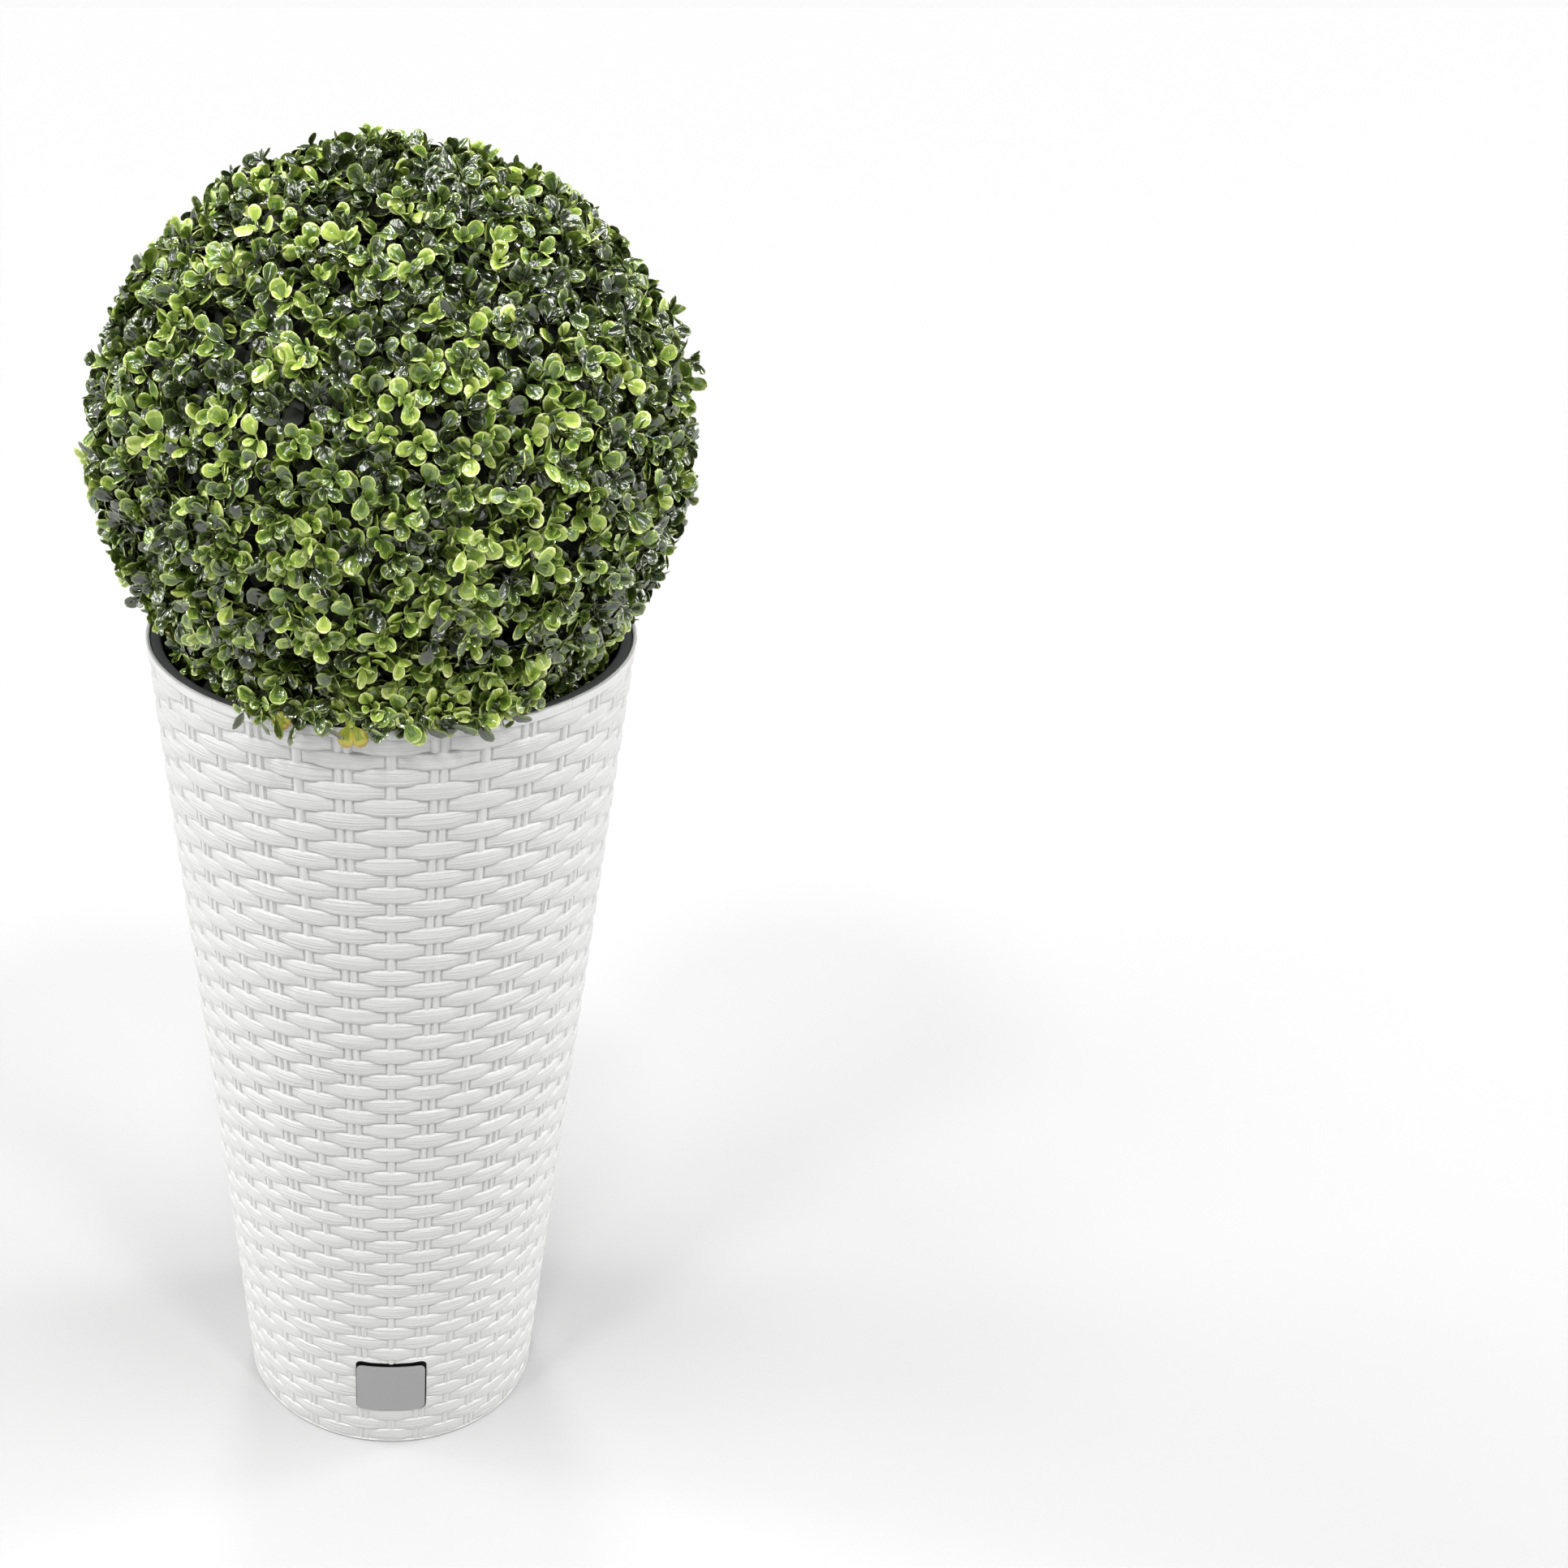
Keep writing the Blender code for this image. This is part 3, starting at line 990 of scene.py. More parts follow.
    def opening(self, shell: WovenShell) -> bpy.types.Object:
        """The cutter for the opening, which goes right through the shell's wall."""
        outline = self.outline(self.opening_grow(), self.head_gap, self.head_dip)
        return self.slab("plate_opening", shell, outline, -1.5 * shell.wall, shell.wall)

    def build(self, shell: WovenShell) -> None:
        """Builds the plate, and behind it a black sheet that paints the shade in the gap.

        Args:
            shell: The shell that it stands in.
        """
        # ABS from a satin tool: an even soft sheen over a flat face.
        satin = GrainedPlastic(
            "satin_moulded_grey_abs",
            colour="#9B9B9B",
            shade="#929292",
            roughness=0.42,
            grain_mm=0.5,
            depth_mm=0.01,
        )
        face = self.outline(0.0, 0.0, 0.0)
        back = self.proud - self.thickness
        plate = self.slab("indicator_plate_face", shell, face, back, self.proud)
        plate.data.transform(Matrix.Translation((self.shift, 0.0, 0.0)))
        plate.data.materials.append(satin.material())
        plate.data.shade_smooth()
        bevel = plate.modifiers.new("edge", "BEVEL")
        bevel.width = self.edge_round
        bevel.segments = 3
        bevel.limit_method = "ANGLE"
        bevel.angle_limit = math.radians(50)
        apply_modifiers(plate)
        settle(plate, "plate_grey", "indicator_plate")
        # A black sheet behind the opening: painted shade, so that the gap above the plate looks
        # deep.
        black = GrainedPlastic(
            "moulded_black_polypropylene",
            colour="#0B0B0B",
            shade="#060606",
            roughness=0.7,
            grain_mm=0.8,
            depth_mm=0.02,
        )
        shade_sheet = self.slab(
            "indicator_housing",
            shell,
            self.outline(self.opening_grow() - self.seat, self.head_gap - self.seat, self.head_dip),
            -shell.wall - self.housing_behind,
            -shell.wall + self.housing_inside,
        )
        shade_sheet.data.materials.append(black.material())
        settle(shade_sheet, "liner_charcoal")


@dataclass
class Liner:
    """The dark insert that hangs in the rim, with a rounded flange all round.

    Attributes:
        rim_radius: Outer radius of the shell's rim.
        height: Height of the shell's rim above the floor.
        taper: How much its wall draws in for each metre down.
        lip: Thickness of the shell's lip.
        play: Gap between the shell's lip and the flange.
        drop: Depth of the flange's top below the rim.
        flange: Width from the shell's lip to the inside of the liner's wall.
        flange_thickness: Thickness of the flange.
        wall: Thickness of its wall and floor.
        depth: Its depth.
        columns: Number of steps round it.
    """

    rim_radius: float
    height: float
    taper: float
    lip: float
    play: float = 0.35 * MM
    drop: float = 1.5 * MM
    flange: float = 9.0 * MM
    flange_thickness: float = 3.7 * MM
    wall: float = 3.5 * MM
    depth: float = 360.0 * MM
    columns: int = 192

    def outer_radius(self, z: float) -> float:
        """Radius of the liner's outer wall at a height."""
        foot = self.taper * (self.height - z)
        return self.rim_radius - self.lip - self.flange + self.wall - foot

    def build(self) -> None:
        """Builds the liner as one turned piece."""
        top = self.height - self.drop
        floor = top - self.depth
        edge = self.rim_radius - self.lip - self.play
        mouth = self.outer_radius(top) - self.wall
        under = top - self.flange_thickness
        profile = [
            (0.0, floor + self.wall),
            (self.outer_radius(floor) - self.wall, floor + self.wall),
            (self.outer_radius(top - 6 * MM) - self.wall, top - 6 * MM),
            (mouth - 0.1 * MM, top - 1.6 * MM),
            (mouth + 0.4 * MM, top - 0.5 * MM),
            (mouth + 1.4 * MM, top),
            (edge - 1.2 * MM, top),
            (edge - 0.3 * MM, top - 0.4 * MM),
            (edge, top - 1.2 * MM),
            (edge, under),
            (self.outer_radius(under), under),
            (self.outer_radius(floor), floor),
            (0.0, floor),
        ]
        # Charcoal polypropylene with a dull grain, a dark line inside the white rim.
        finish = GrainedPlastic(
            "moulded_charcoal_polypropylene",
            colour="#4B4C4F",
            shade="#3F4043",
            roughness=0.5,
            grain_mm=0.7,
            depth_mm=0.03,
        )
        piece = turned_piece("planter_insert", profile, self.columns, finish.material())
        settle(piece, "liner_charcoal", "planter_liner")


@dataclass(frozen=True)
class BarkMulch:
    """Composted bark: dark brown flakes, rough and without gloss.

    Attributes:
        name: The material's name.
        colour: sRGB colour of a flake's rim.
        shade: sRGB colour of its middle.
        roughness: Its roughness.
        flake_mm: Size of a flake.
        depth_mm: Height of its rim.
    """

    name: str = "composted_bark"
    colour: str = "#4A3526"
    shade: str = "#2A1D14"
    roughness: float = 0.95
    flake_mm: float = 9.0
    depth_mm: float = 2.0

    def material(self) -> bpy.types.Material:
        """Builds the Blender material, with the flakes as cells.

        Returns:
            The material.
        """
        material, shader = new_shader(self.name)
        tree = material.node_tree
        place = add_node(tree, "ShaderNodeTexCoord")
        flakes = add_node(
            tree,
            "ShaderNodeTexVoronoi",
            inputs={"Vector": place.outputs["Object"], "Scale": 1.0 / (self.flake_mm * MM)},
        )
        level = flakes.outputs["Distance"]
        dress_relief(material, shader, level, self.shade, self.colour, self.depth_mm * MM)
        shader.inputs["Roughness"].default_value = self.roughness
        return material


@dataclass
class Filling:
    """The bark filling in the liner, with an uneven surface.

    Attributes:
        top: Height of its surface above the floor.
        floor: Height of its underside.
        radius: Radius of its surface.
        foot_radius: Radius of its underside.
        rings: Number of rings in its surface.
        columns: Number of steps round it.
        heave: How far the surface dips at most.
        still_edge: Share of its radius outside which the surface stays level.
        seed: Seed of the dips.
    """

    top: float
    floor: float
    radius: float
    foot_radius: float
    rings: int = 26
    columns: int = 96
    heave: float = 4.0 * MM
    still_edge: float = 0.99
    seed: int = 11

    def build(self) -> None:
        """Builds the filling, whose surface heaves a little below its top."""
        rng = np.random.default_rng(self.seed)
        profile = [(self.radius * ring / self.rings, self.top) for ring in range(self.rings + 1)]
        profile += [(self.foot_radius, self.floor), (0.0, self.floor)]
        piece = turned_piece("bark_filling", profile, self.columns, BarkMulch().material())
        co = np.empty(len(piece.data.vertices) * 3, np.float32)
        piece.data.vertices.foreach_get("co", co)
        co = co.reshape(-1, 3)
        level = co[:, 2] > self.top - 0.01 * MM
        surface = level & (np.hypot(co[:, 0], co[:, 1]) < self.radius * self.still_edge)
        co[surface, 2] -= (rng.random(surface.sum()) * self.heave).astype(np.float32)
        piece.data.vertices.foreach_set("co", co.ravel())
        piece.data.update()
        settle(piece, "fill_mulch", "liner_fill")


@dataclass
class Stem:
    """The short peg under the ball, clad in ridged bark-brown plastic.

    Attributes:
        foot: Height of its foot above the floor.
        head: Height of its head.
        foot_radius: Radius of its flared foot.
        radius: Radius of the rest.
        columns: Number of steps round it.
        rings: Number of steps down it.
        ridge: Depth of its ridges.
    """

    foot: float
    head: float
    foot_radius: float
    radius: float
    columns: int = 48
    rings: int = 16
    ridge: float = 1.1 * MM

    # The ridges are the sum of two waves: number round the stem, twist in radians for each
    # metre upwards, and height.
    WAVES = ((9, 60.0, 1.0), (17, -90.0, 0.6))

    def build(self) -> None:
        """Builds the stem with upright ridges, inside the CAD stem's width."""
        # Polypropylene moulded against a cast of bark, matt brown with dark hollows.
        finish = GrainedPlastic(
            "bark_moulded_brown_polypropylene",
            colour="#5A4632",
            shade="#2F2419",
            roughness=0.8,
            grain_mm=2.5,
            depth_mm=0.6,
        )
        profile = [(0.0, self.head)]
        for ring in range(self.rings + 1):
            share = ring / self.rings
            flare = (self.foot_radius - self.radius) * share**3
            profile.append((self.radius + flare, self.head + (self.foot - self.head) * share))
        profile.append((0.0, self.foot))
        piece = turned_piece("stem_bark_relief", profile, self.columns, finish.material())
        crest = sum(high for _, _, high in self.WAVES)
        for vertex in piece.data.vertices:
            x, y, z = vertex.co
            turn = math.atan2(y, x)
            waves = (high * math.sin(count * turn + twist * z) for count, twist, high in self.WAVES)
            wave = sum(waves)
            radius = math.hypot(x, y)
            if radius > self.radius / 2:
                scale = 1 - self.ridge * (crest + wave) / (2 * crest) / radius
                vertex.co.x *= scale
                vertex.co.y *= scale
        settle(piece, "stem_bark", "stem")


@dataclass
class LeafShape:
    """The outline of one moulded leaf, as a template of points from stalk to tip.

    A leaf lies along +X from its stalk's foot, with its upper face towards +Z. Its lines run
    from margin to margin, and the middle one is the creased midrib. The deeper in the ball a
    leaf stands, the fewer its faces.

    Attributes:
        depth: How deep in the ball the leaf stands.
        points: For each point, its place along the leaf, half width there and line.
        faces: Its triangles.
        zones: The colour zone of each triangle.
        midrib: The points on the midrib.
    """

    # Lines of points across a row, from margin to margin.
    WIDE = (-1.0, -0.84, -0.45, 0.0, 0.45, 0.84, 1.0)
    FEW = (-1.0, -0.8, 0.0, 0.8, 1.0)
    NARROW = (-1.0, 0.0, 1.0)

    # Rows from stalk to tip: place along the leaf, half width as a share of the widest, lines.
    FULL_ROWS = (
        (0.0, 0.07, NARROW),
        (0.18, 0.10, NARROW),
        (0.32, 0.56, WIDE),
        (0.52, 0.92, WIDE),
        (0.72, 1.0, WIDE),
        (0.89, 0.74, WIDE),
        (1.0, 0.26, NARROW),
    )
    LOWER_ROWS = (
        (0.0, 0.07, NARROW),
        (0.18, 0.10, NARROW),
        (0.38, 0.70, FEW),
        (0.70, 1.0, FEW),
        (0.90, 0.70, FEW),
        (1.0, 0.26, NARROW),
    )
    CORE_ROWS = (
        (0.0, 0.07, NARROW),
        (0.18, 0.10, NARROW),
        (0.40, 0.74, NARROW),
        (0.72, 1.0, NARROW),
        (1.0, 0.26, NARROW),
    )
    HEART, BLADE, MARGIN = 0, 1, 2

    # Where the zones meet: along the leaf, from 0 to 1, and across it, from the midrib outwards.
    # The pale margin zone is partly the leaf's own colour and partly a painted highlight on its
    # edge.
    STALK_END, TIP_START, MARGIN_LINE = 0.3, 0.9, 0.75
    HEART_FOOT, HEART_END, HEART_LINE = 0.4, 0.75, 0.4

    depth: "LeafDepth"
    points: Points = field(init=False)
    faces: Faces = field(init=False)
    zones: Faces = field(init=False)
    midrib: Faces = field(init=False)

    def __post_init__(self) -> None:
        """Lays out the template's points, and joins each row to the next."""
        levels = {LeafDepth.TIP: self.FULL_ROWS, LeafDepth.LOWER: self.LOWER_ROWS}
        outline = levels.get(self.depth, self.CORE_ROWS)
        points, rows = [], []
        for along, half, lines in outline:
            rows.append(range(len(points), len(points) + len(lines)))
            points.extend((along, half * line, line) for line in lines)
        self.points = np.array(points)
        self.midrib = np.array([row[len(row) // 2] for row in rows])
        faces, zones = [], []
        for row, on in zip(rows, rows[1:]):
            for corners in self.bridge(row, on):
                faces.append(corners)
                zones.append(self.zone(self.points[list(corners)]))
        self.faces = np.array(faces)
        self.zones = np.array(zones)

    def zone(self, corners: Points) -> int:
        """The colour zone of a face, from where its corners lie along and across the leaf.

        Args:
            corners: The template's points at its corners.

        Returns:
            HEART, BLADE or MARGIN.
        """
        along, line = corners[:, 0].mean(), np.abs(corners[:, 2]).min()
        if line > self.MARGIN_LINE and along > self.STALK_END or along > self.TIP_START:
            return self.MARGIN
        in_heart = along < self.HEART_FOOT or along < self.HEART_END and line < self.HEART_LINE
        return self.HEART if in_heart else self.BLADE

    def bridge(self, row: range, on: range) -> list[tuple[int, int, int]]:
        """Joins two rows of points, each half of the leaf by itself.

        Args:
            row: The points of a row.
            on: The points of the next row.

        Returns:
            The triangles between them.
        """
        triangles = []
        for half in (0, 1):
            a = list(row[: len(row) // 2 + 1] if half == 0 else row[len(row) // 2 :])
            b = list(on[: len(on) // 2 + 1] if half == 0 else on[len(on) // 2 :])
            i, j = 0, 0
            while i < len(a) - 1 or j < len(b) - 1:
                if j == len(b) - 1 or (i < len(a) - 1 and (i + 1) / len(a) <= (j + 1) / len(b)):
                    triangles.append((a[i], b[j], a[i + 1]))
                    i += 1
                else:
                    triangles.append((a[i], b[j], b[j + 1]))
                    j += 1
        return triangles


class LeafDepth(Enum):
    """How deep in the ball a leaf stands, which sets how many faces it has."""

    TIP = "tip"
    LOWER = "lower"
    CORE = "core"


@dataclass
class Leaf:
    """One leaf's place, its size, and how its blade bends.

    Attributes:
        place: Its frame, with +X along the leaf.
        length: Its length.
        width: Its width.
        cup: How far its margin rises, as a share of its length.
        pillow: How far each half swells beside the midrib.
        droop: How far its tip bends down.
        tint: Its tint.
        depth: How deep in the ball it stands.
    """

    place: Matrix
    length: float
    width: float
    cup: float
    pillow: float
    droop: float
    tint: LeafTint
    depth: LeafDepth


@dataclass
class LeafBall:
    """The clipped ball: sprigs of crossed leaf pairs on a dark core, within the CAD ball's reach.

    Attributes:
        centre: Its centre.
        radius: Its radius, level.
        half_height: Half of its height.
        rim_height: Height of the planter's rim above the floor.
        seed: Seed of its random numbers.
        core_gap: Depth of the sprigs' feet below the clipped outline.
        core_sink: Depth of the core's ribs below the sprigs' feet, and of the ribs themselves.
        core_ribs: Number of waves of the core's moulded grid.
        sprigs: Number of sprigs over a whole ball.
        lowest: Where the sprigs end, from -1 at the ball's foot to 1 at its top.
        lean: How far a sprig leans to any side, 1 being 45 degrees.
        stray: How far a stray sprig may stand out of the clipped outline.
        stray_up: Share of that at the ball's top.
        strays: Share of the sprigs that stray.
        internode: Length of twig between two leaf pairs.
        leaf_length: Length of a full leaf with its stalk.
        leaf_width: Width of a full leaf.
        vein: Unevenness of a blade, as a share of its length.
        twig_radius: Radius of a twig's foot.
        mouth_radius: How far out the skirt reaches inside the rim.
        skirt_reach: How far out it reaches at the front, where it lies over the rim.
        skirt_depth: How far it reaches above and below the rim.
        rim_reach: Radius of the rim's outer edge, inside which leaves keep above the rim.
        rim_clearance: How far above the rim they keep.
        hang: How far below the rim leaves hang outside it.
        front_turn: Half of the angle at the front over which they do, in radians.
        front_spread: Half of the angle over which their sprigs stand, in radians.
        skirt_sprigs: Number of sprigs in the pot's mouth.
        front_sprigs: Number of sprigs that lie over the rim.
        most_faces: Most triangles in one piece of leaves.
        leaves: The leaves grown so far.
        twigs: The twigs grown so far: start, end, and thickness at either as a share.
    """

    # How leaves and twigs vary: (mean, deviation) where it is drawn as a bell, and
    # (least, most) where it is drawn evenly. Sizes are shares of the full size.
    LEAF_ROLL = (0.0, 0.42)
    LEAF_LENGTHS = (0.88, 1.08)
    LEAF_WIDTHS = (0.86, 1.1)
    LEAF_CUP = (0.05, 0.13)
    LEAF_PILLOWS = (0.03, 0.09)
    LEAF_DROOP = (0.10, 0.12)
    LEAF_SIZES = (0.84, 1.0)
    LEAF_ASIDE = (0.0, 0.2)
    TWIG_BEND = (0.0, 0.16)
    TWIG_STEPS = (0.8, 1.2)

    # A leaf's slope in degrees, at the twig's foot and how much more at its tip, and its
    # deviation. The two half-sized leaves of a bud stand steeper.
    SLOPE_FOOT, SLOPE_GAIN, SLOPE_SPREAD = 10.0, 24.0, 14.0
    BUD_CHANCE, BUD_SIZE, BUD_SLOPES = 0.55, 0.5, (46.0, 72.0)

    # A side twig's chance, its place in internodes, its angle in degrees and its size.
    SIDE_CHANCE, SIDE_PLACES, SIDE_ANGLES, SIDE_SIZE = 0.6, (0.8, 1.9), (30.0, 65.0), 0.95

    # Points that have to keep inside the outline: the tip and the sides, as shares of the
    # length and the width, and how far they rise, as a share of the length.
    LEAF_CORNERS, LEAF_RISE = ((1.0, 0.0), (0.65, -0.5), (0.65, 0.5)), 0.1
    SHRINK_TRIES, SHRINK = 6, 0.92

    # How often each tint is picked, and the steps to lower leaves and to side twigs; lower leaves
    # step darker as painted shade. Sprigs that point at the front or the back, below the crown, are
    # often one tint lighter, and the others one tint darker: painted light and painted shade.
    TINT_WEIGHTS = (0, 27, 29, 24, 14, 6, 0)
    LOWER_TINTS, SIDE_TINTS = (0, 1, 1, 2), (-1, 0, 0, 1)
    CROWN_START, FLANK_START = 0.45, 0.6
    LIGHTER_CHANCE, DARKER_CHANCE = 0.32, 0.5

    # Yellowed stray sprigs stand only in a band round the ball that is tilted back: its
    # tilt, its half width, their chance and their size.
    AMBER_TILT, AMBER_BAND, AMBER_CHANCE, AMBER_SIZE = 0.5, 0.2, 0.3, 0.7

    # Sprigs of the skirt and of its front: radius of their feet in metres, at the rim's
    # height, and the heights above the rim in millimetres at which they stand.
    SKIRT_FOOT, SKIRT_HEIGHTS, SKIRT_JITTER = 0.153, (-24.0, 16.0), 0.03
    FRONT_FOOT, FRONT_HEIGHTS = 0.167, (5.0, 15.0)
    SKIRT_FLARE = 0.2

    # Leaves set one by one hang from here, in metres: edge-on ones further out by the
    # spread. Their faces tip up, and twist to either side, by these shares.
    HANG_RADIUS, HANG_SPREAD, HANG_TIP, HANG_TWIST = 0.2022, 0.006, 0.35, 0.3

    # Leaves that hang over the rim's front: turn from the front in radians, to the right,
    # height of the foot above the rim in millimetres, swing from hanging straight down and
    # roll about the leaf's length in radians, and tint.
    RIM_LEAVES = (
        (-0.45, 9.0, 1.0, 0.0, LeafTint.AMBER),
        (-0.37, 9.5, -0.9, 0.0, LeafTint.SHADE),
        (-0.28, 10.0, 0.7, 0.0, LeafTint.DEEP),
        (-0.152, 8.5, -0.1, 0.0, LeafTint.AMBER),
        (-0.137, 7.5, 0.4, 0.0, LeafTint.AMBER),
        (-0.02, 10.0, -0.7, 0.0, LeafTint.SHADE),
        (0.05, 10.5, 0.5, 0.0, LeafTint.GARDEN),
        (0.085, 8.5, 0.2, 0.0, LeafTint.GARDEN),
        (0.12, 9.0, -0.6, 0.0, LeafTint.DEEP),
        (0.16, 8.5, 1.2, 0.0, LeafTint.SHADE),
        (0.26, 9.0, 1.3, 0.0, LeafTint.SHADE),
        (0.33, 9.5, -1.1, 0.0, LeafTint.DEEP),
        (-0.54, 8.0, -0.5, 1.25, LeafTint.SHADE),
        (-0.49, 7.0, 0.6, 1.1, LeafTint.SHADE),
        (-0.415, 8.5, 0.35, 1.3, LeafTint.DEEP),
        (-0.33, 7.5, -0.4, 1.2, LeafTint.SHADE),
        (-0.24, 8.5, 0.8, 1.25, LeafTint.SHADE),
        (-0.09, 8.0, 0.9, 1.15, LeafTint.DEEP),
        (0.015, 8.5, -1.0, 1.2, LeafTint.SHADE),
        (0.115, 7.0, 0.9, 1.2, LeafTint.SHADE),
        (0.19, 8.5, 1.1, 1.3, LeafTint.SHADE),
        (0.225, 8.0, 0.9, 1.1, LeafTint.DEEP),
        (0.3, 7.5, 0.4, 1.25, LeafTint.SHADE),
        (0.42, 8.5, 1.0, 1.2, LeafTint.SHADE),
    )

    centre: Vector
    radius: float
    half_height: float
    rim_height: float
    seed: int = 7
    core_gap: float = 40.0 * MM
    core_sink: float = 3.0 * MM
    core_ribs: int = 12
    sprigs: int = 2230
    lowest: float = -0.95
    lean: float = 0.30
    stray: float = 8.0 * MM
    stray_up: float = 0.5
    strays: float = 0.14
    internode: float = 9.5 * MM
    leaf_length: float = 21.5 * MM
    leaf_width: float = 15.2 * MM
    vein: float = 0.014
    twig_radius: float = 0.8 * MM
    mouth_radius: float = 184.0 * MM
    skirt_reach: float = 211.0 * MM
    skirt_depth: float = 42.0 * MM
    rim_reach: float = 199.8 * MM
    rim_clearance: float = 1.5 * MM
    hang: float = 5.0 * MM
    front_turn: float = 0.62
    front_spread: float = 0.58
    skirt_sprigs: int = 150
    front_sprigs: int = 84
    most_faces: int = 190_000
    leaves: list[Leaf] = field(default_factory=list)
    twigs: list[tuple[Vector, Vector, float, float]] = field(default_factory=list)

    def inside(self, point: Vector, slack: float) -> bool:
        """Tells if a leaf may reach a point.

        Args:
            point: The point.
            slack: How far it may stand out of the clipped outline.

        Returns:
            True within the outline and its slack, or in the skirt that rests on the rim.
        """
        offset = point - self.centre
        across = math.hypot(offset.x, offset.y)
        reach, half = self.radius + slack, self.half_height + self.stray_up * slack
        if math.hypot(across / reach, offset.z / half) <= 1.0:
            return True
        turn = math.atan2(offset.x, -offset.y)
        above = point.z - self.rim_height
        if abs(above) < self.skirt_depth and across < self.mouth_radius:
            return True
        lowest = self.rim_clearance if across < self.rim_reach else -self.hang
        at_front = abs(turn) < self.front_turn and across < self.skirt_reach
        return at_front and lowest < above < self.skirt_depth

    def core_point(self, direction: Vector) -> Vector:
        """The point of the core in a unit direction."""
        across, up = self.radius - self.core_gap, self.half_height - self.core_gap
        return self.centre + Vector((direction.x * across, direction.y * across, direction.z * up))

    @staticmethod
    def facing(axis: Vector, roll: float) -> Matrix:
        """A rotation that carries +Z to axis, after a turn of roll about +Z."""
        turn = Vector((0.0, 0.0, 1.0)).rotation_difference(axis).to_matrix().to_4x4()
        return turn @ Matrix.Rotation(roll, 4, "Z")

    @staticmethod
    def spiral_direction(index: int, count: int) -> Vector:
        """Spreads unit directions evenly over a sphere, along a golden spiral.

        Args:
            index: Number of the direction, from the top.
            count: Number of directions in all.

        Returns:
            The direction.
        """
        golden = math.pi * (3.0 - math.sqrt(5.0))
        z = 1.0 - (2.0 * index + 1.0) / count
        ring = math.sqrt(1.0 - z * z)
        return Vector((ring * math.cos(golden * index), ring * math.sin(golden * index), z))

    def add_leaf(self, rng: random.Random, node: Matrix, turn: float, slope: float, size: float,
                 tint: LeafTint, depth: LeafDepth, slack: float) -> None:
        """Adds a leaf at a node, shrunk until it keeps inside the clipped outline.

        Args:
            rng: The ball's own random numbers.
            node: The twig's frame at the node, with +Z along the twig.
            turn: The leaf's turn about the twig.
            slope: Its slope above the twig's cross-section, in radians.
            size: Its size as a share of a full leaf.
            tint: Its tint.
            depth: How deep in the ball it stands.
            slack: How far it may stand out of the clipped outline.
        """
        place = node @ Matrix.Rotation(turn, 4, "Z") @ Matrix.Rotation(-slope, 4, "Y")
        place = place @ Matrix.Rotation(rng.gauss(*self.LEAF_ROLL), 4, "X")
        length = self.leaf_length * size * rng.uniform(*self.LEAF_LENGTHS)
        width = self.leaf_width * size * rng.uniform(*self.LEAF_WIDTHS)
        for _ in range(self.SHRINK_TRIES):
            rise = self.LEAF_RISE * length
            corners = [place @ Vector((x * length, y * width, rise)) for x, y in self.LEAF_CORNERS]
            if all(self.inside(corner, slack) for corner in corners):
                break
            length *= self.SHRINK
            width *= self.SHRINK
        else:
            return
        cup, pillow = rng.gauss(*self.LEAF_CUP), rng.uniform(*self.LEAF_PILLOWS)
        droop = rng.gauss(*self.LEAF_DROOP)
        self.leaves.append(Leaf(place, length, width, cup, pillow, droop, tint, depth))

    def add_rosette(self, rng: random.Random, base: Matrix, pairs: int, size: float, tint: int,
                    slack: float = 0.0) -> None:
        """Grows one twig with crossed pairs of leaves that close up towards its tip.

        Args:
            rng: The ball's own random numbers.
            base: The twig's frame at its foot, with +Z along it.
            pairs: Number of leaf pairs.
            size: Leaf size at its foot, as a share of a full leaf.
            tint: Index of the tip's tint. Lower leaves are a shade darker, as painted shade.
            slack: How far the twig may stand out of the clipped outline.
        """
        tints = list(LeafTint)
        amber = tint == len(tints) - 1
        node = base
        turn = rng.uniform(0.0, math.pi)
        bend = rng.gauss(*self.TWIG_BEND)
        for pair in range(pairs):
            step = self.internode * (1.0 - 0.1 * pair) * rng.uniform(*self.TWIG_STEPS) * size
            start = node.translation.copy()
            node = node @ Matrix.Rotation(bend, 4, "X") @ Matrix.Translation((0.0, 0.0, step))
            taper = 1.0 - 0.5 * pair / pairs
            self.twigs.append((start, node.translation.copy(), taper, taper * 0.85))
            share = pair / max(pairs - 1, 1)
            slope = rng.gauss(self.SLOPE_FOOT + self.SLOPE_GAIN * share, self.SLOPE_SPREAD)
            slope = math.radians(slope)
            at_tip = share > 0.6
            # Leaves below the tip step darker: painted shade.
            here = tint if amber or at_tip else max(1, tint - rng.choice(self.LOWER_TINTS))
            depth = LeafDepth.TIP if pair == pairs - 1 else LeafDepth.LOWER
            # A long twig's first pair is INNER, near black: painted shade deep in the ball.
            if pairs > 2 and pair == 0:
                here, depth = 0, LeafDepth.CORE
            for side in (0.0, math.pi):
                leaf_size = size * rng.uniform(*self.LEAF_SIZES) * (1.0 - 0.12 * share)
                aside = turn + side + rng.gauss(*self.LEAF_ASIDE)
                self.add_leaf(rng, node, aside, slope, leaf_size, tints[here], depth, slack)
            turn += math.pi / 2
        if rng.random() < self.BUD_CHANCE:
            bud = self.BUD_SIZE * size
            for side in (0.0, math.pi):
                slope = math.radians(rng.uniform(*self.BUD_SLOPES))
                self.add_leaf(rng, node, turn + side, slope, bud, tints[tint], LeafDepth.TIP, slack)

